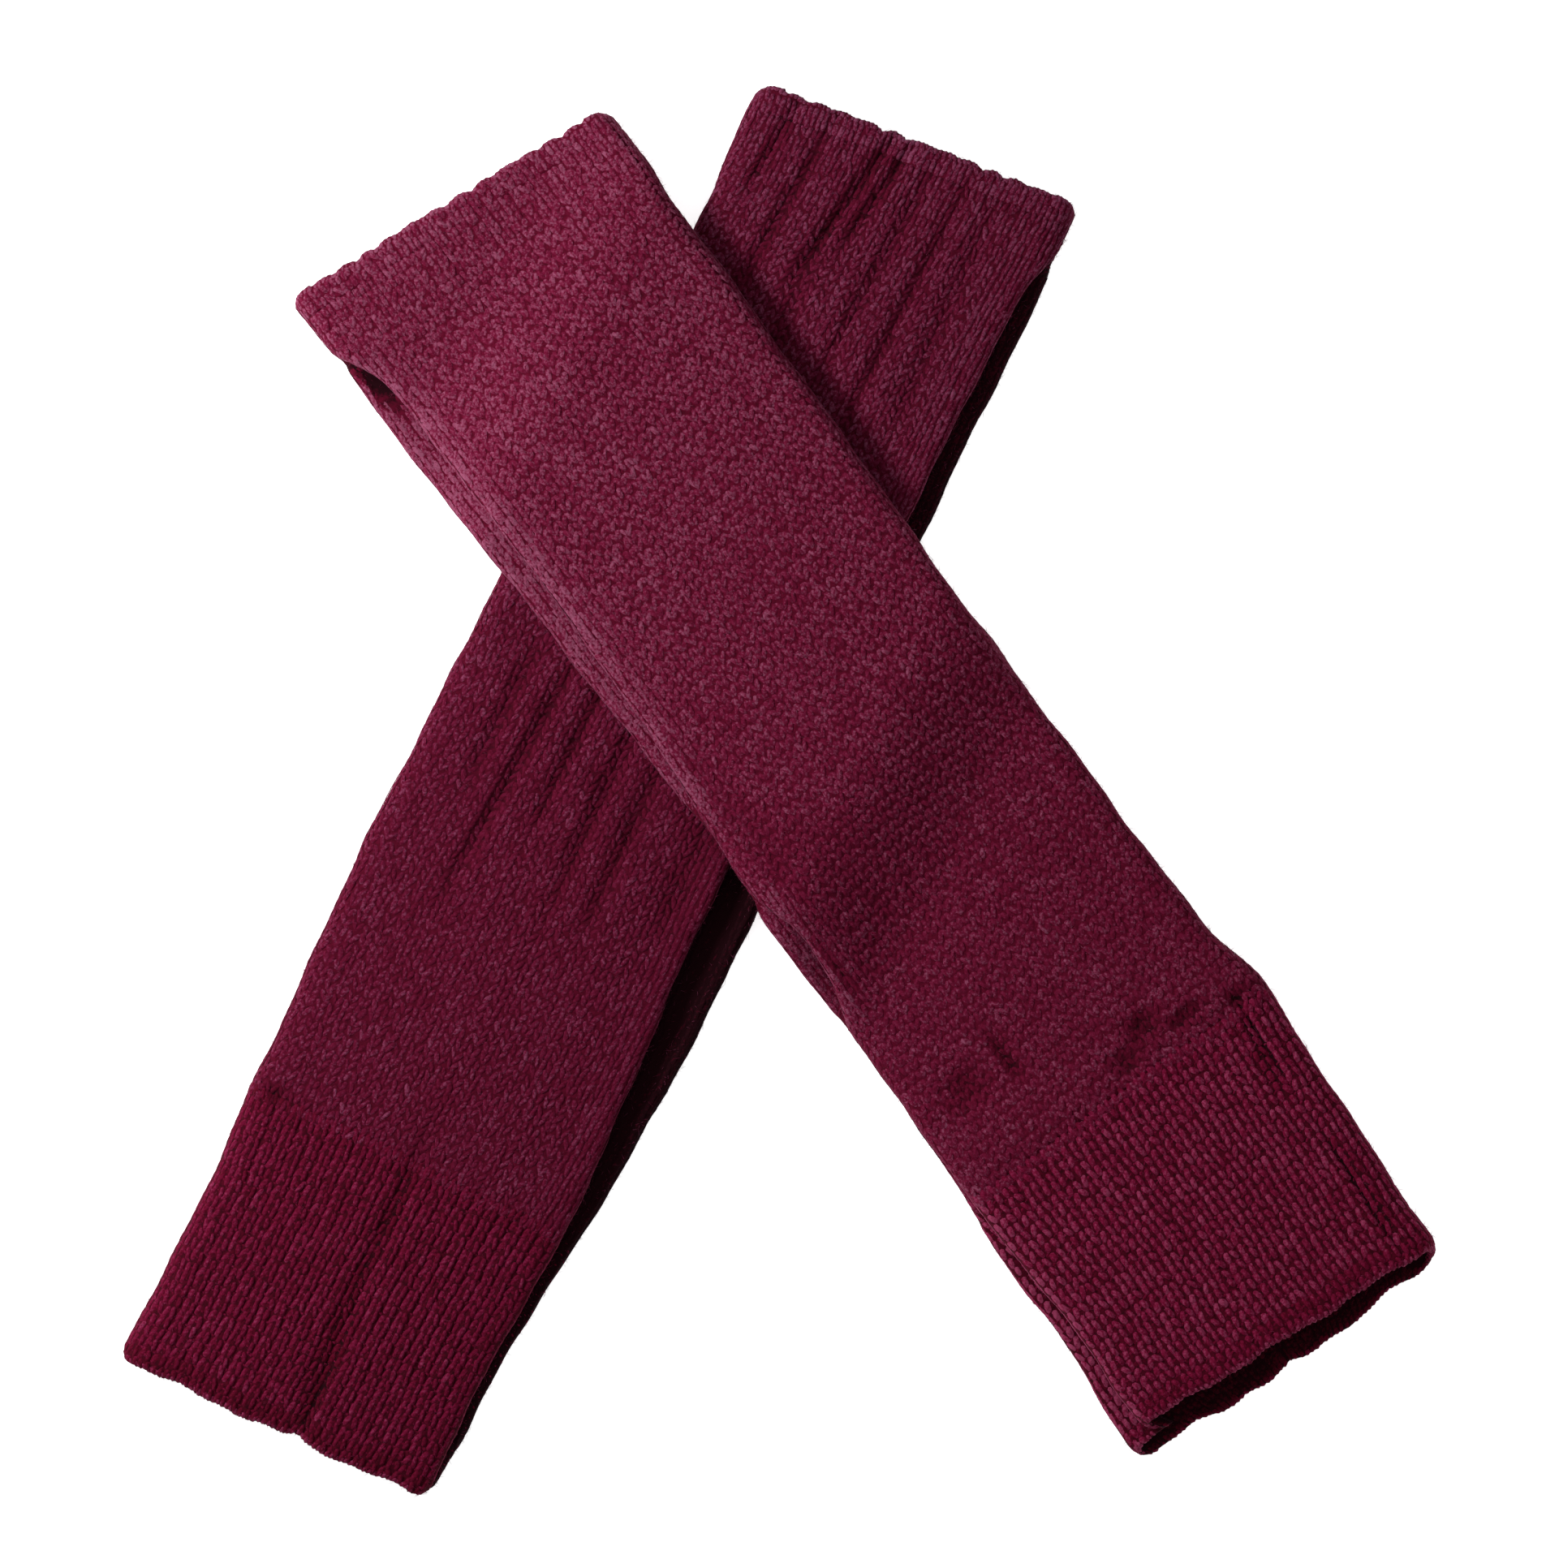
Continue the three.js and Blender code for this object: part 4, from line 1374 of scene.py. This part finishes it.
@dataclass
class KnitLength:
    """One length of a leg warmer: its ground cloth and its strokes."""

    surface: LegSurface
    side_wales: int = 5
    pleat_wales: int = 9
    under_limit: float = -0.72
    crease_clear: float = 0.0003
    hidden_reach: float = 0.0016
    inside_reach: float = 0.040
    fuzz_density: float = 200000.0
    mouth_shade: float = 1.3
    visible: list[bpy.types.Object] = field(default_factory=list)

    @property
    def plan(self) -> LegPlan:
        """The leg that this length is part of."""
        return self.surface.plan

    @property
    def rolled_length(self) -> float:
        """The length of cloth that goes round a hem's rim."""
        return math.pi * self.surface.rim_radius

    def generator(self, extra: int) -> np.random.Generator:
        """Random numbers that are the same at every run."""
        return np.random.default_rng(self.plan.seed * 100 + extra)

    def wale_girth(self, number: Array, along: Array) -> Array:
        """The girth of a wale's middle, counted from the plain side of the face."""
        width = self.surface.column("plain", along) + self.surface.column("pleated", along)
        return (number - (self.plan.wales - 1) / 2) * width / self.plan.wales

    def rib_girth(self, number: Array, along: Array) -> Array:
        """The girth of a rib's middle, counted from the plain side of the face."""
        right = self.surface.row_value(self.surface.face_right, along)
        left = self.surface.row_value(self.surface.face_left, along)
        return blend(left, right, (number + 0.5) / self.plan.ribs)

    def shown(self, girth: Array, along: Array) -> Array:
        """Which places can be seen: off the underside and out of the depth of the pleat."""
        level = self.surface.read(girth, along)[..., 5]
        low = self.surface.row_value(self.surface.girth_low, along)
        high = self.surface.row_value(self.surface.girth_high, along)
        inside = (girth > low) & (girth < high)
        return (level > self.under_limit) & ~self.buried(girth, along) & inside

    def buried(self, girth: Array, along: Array) -> Array:
        """Which places lie in the depth of the pleat, under the front fold."""
        side = self.surface.read(girth, along)[..., 9] * self.plan.pleat_sign
        inner = self.surface.row_value(self.surface.crease_inner, along) + self.crease_clear
        return (girth > inner) & (side < self.surface.front_reach(along) - self.hidden_reach)

    def wander(self, girth: Array, along: Array) -> tuple[Array, Array]:
        """Slow drifts of the rows and columns, as hand-laid cloth has."""
        phase = self.plan.seed
        side = 0.00045 * np.sin(along / 0.021 + phase) * np.cos(girth / 0.034 + phase * 2)
        ahead = 0.0006 * np.sin(girth / 0.024 + phase) + 0.0004 * np.sin(girth / 0.009 + along / 0.05)
        return girth + side, along + ahead

    def pair_strokes(
        self, girth: Array, along: Array, pitch: Array, kind: Stitches, tone: float, rng: np.random.Generator,
    ) -> Strokes:
        """The two leaning strokes of each stitch, which meet towards the top hem.

        Args:
            girth: the girth of each stitch's middle.
            along: its distance along the leg.
            pitch: the width of each stitch.
            kind: the gauge and strokes of the stitches.
            tone: the yarn's tone.
            rng: the source of random numbers.

        Returns:
            The strokes.
        """
        sets = []
        for side in (-1.0, 1.0):
            count = len(girth)
            loose = kind.jitter
            width = kind.half_width * pitch / np.mean(pitch)
            sets.append(Strokes(
                girth=girth + side * pitch * 0.25 + rng.normal(0, 0.00013 * loose, count),
                along=along + rng.normal(0, 0.00026 * loose, count),
                half_length=kind.half_length * (1 + rng.normal(0, 0.10 * loose, count)),
                half_width=width * (1 + rng.normal(0, 0.10 * loose, count)),
                rise=kind.rise * (1 + rng.normal(0, 0.10 * loose, count)),
                lift=kind.lift + rng.normal(0, 0.00003 * loose, count),
                angle=kind.lean * side + rng.normal(0, 0.15 * loose, count),
                bend=np.full(count, kind.bend * side),
                tone=tone + rng.normal(0, 0.085, count),
            ))
        return Strokes.joined(sets)

    def rim_strokes(self, sign: int, kind: Stitches, tone: float, rng: np.random.Generator) -> Strokes:
        """Strokes that go round a hem's rim and a little way inside.

        Args:
            sign: -1 for the top hem, 1 for the ankle hem.
            kind: the gauge and strokes.
            tone: the yarn's tone.
            rng: the source of random numbers.

        Returns:
            The strokes.
        """
        surface = self.surface
        edge = surface.end if sign > 0 else surface.start
        low = float(surface.row_value(surface.girth_low, edge))
        high = float(surface.row_value(surface.girth_high, edge))
        count = int(round((high - low) / (2.0 * kind.half_width * 1.02)))
        spots = np.linspace(low, high, count, endpoint=False)
        arc = math.pi * surface.rim_radius
        reach = [0.12 * arc, 0.52 * arc, 0.92 * arc, arc + 0.0018]
        if sign > 0:
            reach += [arc + 0.0042, arc + 0.0066]
        girth, past = (grid.ravel() for grid in np.meshgrid(spots, reach))
        values = surface.read(girth, np.full(len(girth), edge))
        slope = values[:, 5]
        keep = ((slope > -0.5) | (past > 0.4 * arc)) & ((np.abs(slope) > 0.75) | (past < 0.7 * arc))
        pleat = girth > float(surface.row_value(surface.face_right, edge)) - 0.003
        keep &= (past < 0.3 * arc) | ~pleat | (slope < -0.75)
        keep &= (past < arc) | (np.abs(values[:, 9]) < self.inside_reach)
        keep &= (slope < -0.5) | ~self.buried(girth, np.full(len(girth), edge))
        girth, past = girth[keep], past[keep]
        count = len(girth)
        back = surface.read(girth, np.full(len(girth), edge))[:, 5] < -0.5
        ragged = 0.0011 * np.sin(girth / 0.0023) * np.sin(girth / 0.0061 + 1) + rng.normal(0, 0.0003, count)
        # painted highlight on the front rim, and painted shade on the back rim, which the front layer shades
        lit = blend(0.25, -0.25, back) * (1 - smoothstep(past, arc * 0.3, arc * 0.6))
        past = past + back * sign * ragged * (past > 0.4 * arc)
        return Strokes(
            girth=girth + rng.normal(0, 0.0001, count),
            along=edge + sign * past,
            half_length=np.full(count, 0.0015) * (1 + rng.normal(0, 0.08, count)),
            half_width=kind.half_width * (1 + rng.normal(0, 0.08, count)),
            rise=kind.rise * 0.8 * np.ones(count),
            lift=rng.normal(-0.0001, 0.00008, count),
            angle=rng.normal(0.1, 0.12, count),
            bend=np.zeros(count),
            # painted shade: the tone sinks into the mouth
            tone=tone + lit - self.mouth_shade * smoothstep(np.abs(past), arc * 0.4, arc * 1.4)
            + rng.normal(0, 0.08, count),
        )

    def fuzz(self, name: str, start: float, end: float, material: bpy.types.Material) -> bpy.types.Object:
        """Scatters loose fibres over this length.

        Args:
            name: the object's name.
            start: where the fibres start along the leg.
            end: where they end.
            material: the yarn's material.

        Returns:
            The object.
        """
        rng = self.generator(9)
        low, high = float(self.surface.girth_low.min()), float(self.surface.girth_high.max())
        count = int(abs(end - start) * (high - low) * self.fuzz_density)
        girth = rng.uniform(low, high, count)
        along = rng.uniform(min(start, end), max(start, end), count)
        keep = self.shown(girth, along)
        made = FuzzLayer(name, self.surface).build(girth[keep], along[keep], rng)
        made.data.materials.append(material)
        return made

    def show(
        self, node: str, slot: Slot, cloth: bpy.types.Object, layers: list[bpy.types.Object],
        flat: tuple[float, float], rests_on: list[str], area: float | None = None,
    ) -> None:
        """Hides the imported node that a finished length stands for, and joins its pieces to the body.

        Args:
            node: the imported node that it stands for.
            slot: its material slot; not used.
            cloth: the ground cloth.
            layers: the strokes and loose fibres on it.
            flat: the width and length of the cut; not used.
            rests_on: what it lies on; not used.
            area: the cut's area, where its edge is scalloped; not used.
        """
        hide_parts(node)
        for piece in [cloth, *layers]:
            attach(piece, BODY)
            self.visible.append(piece)
            LOG.info("%s: %d faces", piece.name, len(piece.data.polygons))


@dataclass
class LegTube(KnitLength):
    """The plain knitted tube, the main length of the leg."""

    seam_gap: float = 0.00002
    turned_reach: float = 0.034

    def build(self, rests_on: list[str]) -> None:
        """Makes the tube."""
        plan = self.plan
        start = plan.top_seam + self.seam_gap / 2
        end = plan.cuff_seam - self.seam_gap / 2
        ground = GroundCloth(f"{plan.name}_tube_cloth", self.surface, start, end, Hem.NONE, 0.0024, 2)
        # low ground tones: painted shade in the gaps between strokes, lower still inside the tube
        cloth = ground.build(TUBE_FINISH.on(plan).ground_material(), -0.30, -0.6)
        rng = self.generator(1)
        courses = np.arange(start + plan.body.course / 2, end + 0.002, plan.body.course)
        numbers = np.arange(-self.side_wales - self.pleat_wales, plan.wales + self.side_wales + self.pleat_wales)
        number, along = (grid.ravel() for grid in np.meshgrid(numbers, courses))
        girth = self.wale_girth(number, along)
        pitch = self.wale_girth(number + 1, along) - girth
        keep = self.shown(girth, along)
        girth, along, pitch, number = girth[keep], along[keep], pitch[keep], number[keep]
        girth, along = self.wander(girth, along)
        upper = smoothstep(along, start, start + self.turned_reach)
        tone = self.tone(girth, along)
        strokes = self.pair_strokes(girth, along, pitch, plan.body, 0.0, rng)
        twice = np.concatenate([upper, upper])
        side = np.concatenate([np.full(len(girth), -1.0), np.full(len(girth), 1.0)])
        strokes.angle += side * (plan.turned.lean - plan.body.lean) * (1 - twice)
        strokes.tone += np.concatenate([tone, tone])
        drawn, pale = (np.tile(value, 2) for value in self.surface.lip(girth, along))
        strokes.angle *= 1 - 0.6 * drawn
        strokes.half_length *= 1 + 0.2 * drawn
        strokes.rise *= 1 - 0.4 * pale
        # painted highlight along the pleat's fold; the under leg's negative value paints shade
        strokes.tone += plan.lip_painted_light * pale
        sunk = rng.normal(0, 0.00003, numbers.max() - numbers.min() + 1)
        strokes.lift += np.tile(sunk[number - numbers.min()], 2)
        layer = StrokeLayer(f"{plan.name}_tube_stitches", self.surface, StrokeTemplate(4, 4))
        yarn = TUBE_FINISH.on(plan).material()
        stitches = layer.build(strokes, yarn)
        fuzz = self.fuzz(f"{plan.name}_tube_fuzz", start, end, yarn)
        girth_size = float(np.mean(self.surface.girth_high - self.surface.girth_low))
        self.show(f"{plan.name}_tube", Slot.TUBE, cloth, [stitches, fuzz], (girth_size, end - start), rests_on)

    def tone(self, girth: Array, along: Array) -> Array:
        """The yarn's tone over the tube, with painted shade: a little deeper towards the ankle, where less light
        falls, and deeper in dents and under the pleat.
        """
        return 0.50 - 0.16 * smoothstep(along, 0.05, 0.26) - self.surface.shade(girth, along)


@dataclass
class AnkleCuff(KnitLength):
    """The ribbed ankle cuff."""

    seam_gap: float = 0.00002
    band: float = 0.006

    def build(self, rests_on: list[str]) -> None:
        """Makes the cuff."""
        plan = self.plan
        start = plan.cuff_seam + self.seam_gap / 2
        edge = self.surface.end
        ground = GroundCloth(f"{plan.name}_cuff_cloth", self.surface, start, edge, Hem.ANKLE, 0.0016, 1)
        # low ground tones: painted shade in the gaps between strokes, lower still inside the tube
        cloth = ground.build(CUFF_FINISH.on(plan).ground_material(), -0.65, -1.3)
        rng = self.generator(2)
        courses = np.arange(start + 0.001, edge, plan.rib.course)
        numbers = np.arange(-self.side_wales, plan.ribs + self.side_wales)
        number, along = (grid.ravel() for grid in np.meshgrid(numbers, courses))
        girth = self.rib_girth(number, along)
        pitch = self.rib_girth(number + 1, along) - girth
        keep = self.shown(girth, along)
        girth, along, pitch = girth[keep], along[keep], pitch[keep]
        ribs = self.pair_strokes(*self.wander(girth, along), pitch, plan.rib, plan.cuff_tone, rng)
        ribs.tone += np.tile(self.tone(girth, along), 2)
        _, pale = (np.tile(value, 2) for value in self.surface.lip(girth, along))
        # painted highlight along the pleat's fold; the under leg's negative value paints shade
        ribs.tone += 1.5 * plan.lip_painted_light * pale
        ribs.rise *= 1 - 0.4 * pale
        between = np.concatenate([girth, girth + pitch / 2])
        after = np.concatenate([along, along + plan.purl.course / 2])
        open_place = self.shown(between, np.minimum(after, edge))
        purls = self.purl_strokes(*self.wander(between[open_place], after[open_place]), rng)
        rim = self.rim_strokes(1, plan.rib, 0.40, rng)
        layer = StrokeLayer(f"{plan.name}_cuff_stitches", self.surface, StrokeTemplate(4, 4))
        yarn = CUFF_FINISH.on(plan).material()
        stitches = layer.build(Strokes.joined([ribs, purls, rim]), yarn)
        fuzz = self.fuzz(f"{plan.name}_cuff_fuzz", start, plan.hem, yarn)
        girth_size = float(np.mean((self.surface.girth_high - self.surface.girth_low)[-80:]))
        length = edge - start + self.rolled_length
        self.show(f"{plan.name}_cuff", Slot.RIB, cloth, [stitches, fuzz], (girth_size, length), rests_on)

    def tone(self, girth: Array, along: Array) -> Array:
        """How much deeper the yarn's tone is: painted shade in the dents and under the pleat, and deeper on the
        rolled hem and over the first rows after the seam.
        """
        rolled = smoothstep(along, self.plan.hem - self.band - 0.002, self.plan.hem - self.band + 0.001)
        first = 1 - smoothstep(along, self.plan.cuff_seam, self.plan.cuff_seam + 0.009)
        return -0.2 * first - 0.3 * rolled - self.surface.shade(girth, along)

    def purl_strokes(self, girth: Array, along: Array, rng: np.random.Generator) -> Strokes:
        """The low bumps in the valleys between ribs, with a low tone as painted shade in the valleys.

        Args:
            girth: the girth of each bump.
            along: its distance along the leg.
            rng: the source of random numbers.

        Returns:
            The strokes.
        """
        kind = self.plan.purl
        count = len(girth)
        return Strokes(
            girth=girth,
            along=along,
            half_length=kind.half_length * (1 + rng.normal(0, 0.1, count)),
            half_width=kind.half_width * (1 + rng.normal(0, 0.1, count)),
            rise=np.full(count, kind.rise),
            lift=kind.lift + rng.normal(0, 0.00008, count),
            angle=kind.lean + rng.normal(0, 0.15, count),
            bend=np.zeros(count),
            # a low tone: painted shade in the valley
            tone=0.10 + rng.normal(0, 0.08, count),
        )


@dataclass
class TopEdge(KnitLength):
    """The turned top edge with its scalloped rim."""

    seam_gap: float = 0.00002

    def build(self, rests_on: list[str]) -> None:
        """Makes the edge."""
        plan = self.plan
        seam = plan.top_seam - self.seam_gap / 2
        edge = self.surface.start
        ground = GroundCloth(f"{plan.name}_top_edge_cloth", self.surface, seam, edge, Hem.TOP, 0.0008, 1)
        # low ground tones: painted shade in the gaps between strokes, lower still inside the tube
        cloth = ground.build(EDGE_FINISH.on(plan).ground_material(), -0.20, -0.6)
        rng = self.generator(3)
        courses = np.arange(seam - plan.turned.course / 2, edge, -plan.turned.course)
        numbers = np.arange(-self.side_wales, plan.wales + self.side_wales)
        number, along = (grid.ravel() for grid in np.meshgrid(numbers, courses))
        girth = self.wale_girth(number, along)
        pitch = self.wale_girth(number + 1, along) - girth
        keep = self.shown(girth, along)
        girth, along, pitch = girth[keep], along[keep], pitch[keep]
        faces = self.pair_strokes(*self.wander(girth, along), pitch, plan.turned, 0.54, rng)
        rim = self.rim_strokes(-1, plan.turned, 0.52, rng)
        layer = StrokeLayer(f"{plan.name}_top_edge_stitches", self.surface, StrokeTemplate(4, 4))
        yarn = EDGE_FINISH.on(plan).material()
        stitches = layer.build(Strokes.joined([faces, rim]), yarn)
        fuzz = self.fuzz(f"{plan.name}_top_edge_fuzz", seam, plan.top_hem, yarn)
        girth_size = float((self.surface.girth_high - self.surface.girth_low)[4])
        length = seam - edge + self.rolled_length
        area = girth_size * (length - self.rolled_length / 2)
        self.show(f"{plan.name}_top_edge", Slot.EDGE, cloth, [stitches, fuzz], (girth_size, length), rests_on, area)


@dataclass
class LegWarmer:
    """One leg warmer of the pair."""

    plan: LegPlan
    other: LegPlan
    lies_over: bool

    def build(self, rests_on: list[str]) -> None:
        """Makes its three lengths."""
        surface = LegSurface(self.plan, self.other, self.lies_over)
        for length in (TopEdge(surface), LegTube(surface), AnkleCuff(surface)):
            length.build(rests_on)


@dataclass
class Studio:
    """A pale floor, soft lights and the camera straight above."""

    view_centre: tuple[float, float] = (-0.000108, 0.002034)
    view_height: float = 0.4405
    focus_height: float = 0.006
    camera_height: float = 2.0
    sensor: float = 36.0
    floor_size: float = 6.0
    floor_colour: Colour = (0.93, 0.93, 0.94)
    floor_glow: float = 0.8
    key_place: tuple[float, float, float] = (-0.60, 0.22, 0.42)
    key_size: float = 0.18
    key_power: float = 6.8
    fill_place: tuple[float, float, float] = (-0.2, 0.3, 1.5)
    fill_size: float = 1.2
    fill_power: float = 1.5
    sky: float = 0.36

    def build(self) -> bpy.types.Object:
        """Makes the floor, the lights and the camera.

        Returns:
            The floor.
        """
        floor = self.floor()
        self.light("key_light", self.key_place, self.key_size, self.key_power)
        self.light("fill_light", self.fill_place, self.fill_size, self.fill_power)
        world = bpy.data.worlds.new("studio")
        world.use_nodes = True
        backdrop = world.node_tree.nodes["Background"]
        backdrop.inputs["Color"].default_value = (1.0, 1.0, 1.0, 1.0)
        backdrop.inputs["Strength"].default_value = self.sky
        bpy.context.scene.world = world
        bpy.context.scene.view_settings.view_transform = "Standard"
        self.camera()
        return floor

    def floor(self) -> bpy.types.Object:
        """Makes the floor that the pair lies on."""
        bm = bmesh.new()
        bmesh.ops.create_grid(bm, x_segments=1, y_segments=1, size=self.floor_size / 2)
        mesh = bpy.data.meshes.new("floor")
        bm.to_mesh(mesh)
        bm.free()
        material, nodes, _ = new_material("floor_paper")
        nodes["Principled BSDF"].inputs["Base Color"].default_value = (*self.floor_colour, 1.0)
        nodes["Principled BSDF"].inputs["Roughness"].default_value = 0.9
        nodes["Principled BSDF"].inputs["Emission Color"].default_value = (1.0, 1.0, 1.0, 1.0)
        nodes["Principled BSDF"].inputs["Emission Strength"].default_value = self.floor_glow
        mesh.materials.append(material)
        floor = add_object("floor", mesh)
        return floor

    def light(self, name: str, place: tuple[float, float, float], size: float, power: float) -> None:
        """Makes a square soft light that faces the middle of the pair."""
        data = bpy.data.lights.new(name, "AREA")
        data.size = size
        data.energy = power
        lamp = bpy.data.objects.new(name, data)
        lamp.location = place
        toward = -np.array(place)
        lamp.rotation_euler = bpy_direction(toward)
        bpy.context.scene.collection.objects.link(lamp)

    def camera(self) -> None:
        """Makes the camera, which looks straight down."""
        data = bpy.data.cameras.new("camera")
        data.sensor_fit = "VERTICAL"
        data.sensor_height = self.sensor
        data.lens = self.sensor * (self.camera_height - self.focus_height) / self.view_height
        data.clip_end = 10.0
        camera = bpy.data.objects.new("camera", data)
        camera.location = (*self.view_centre, self.camera_height)
        bpy.context.scene.collection.objects.link(camera)
        bpy.context.scene.camera = camera


def bpy_direction(toward: Array):
    """The turn that points a lamp or a camera in a direction."""
    return Vector(toward).to_track_quat("-Z", "Y").to_euler()


def main() -> None:
    """Builds the pair in its studio."""
    logging.basicConfig(level=logging.INFO, format="%(name)s: %(message)s")
    Studio().build()
    LegWarmer(UNDER_LEG, OVER_LEG, lies_over=False).build(["floor"])
    LegWarmer(OVER_LEG, UNDER_LEG, lies_over=True).build(["floor", "under_leg_tube"])


if __name__ == "__main__":
    main()
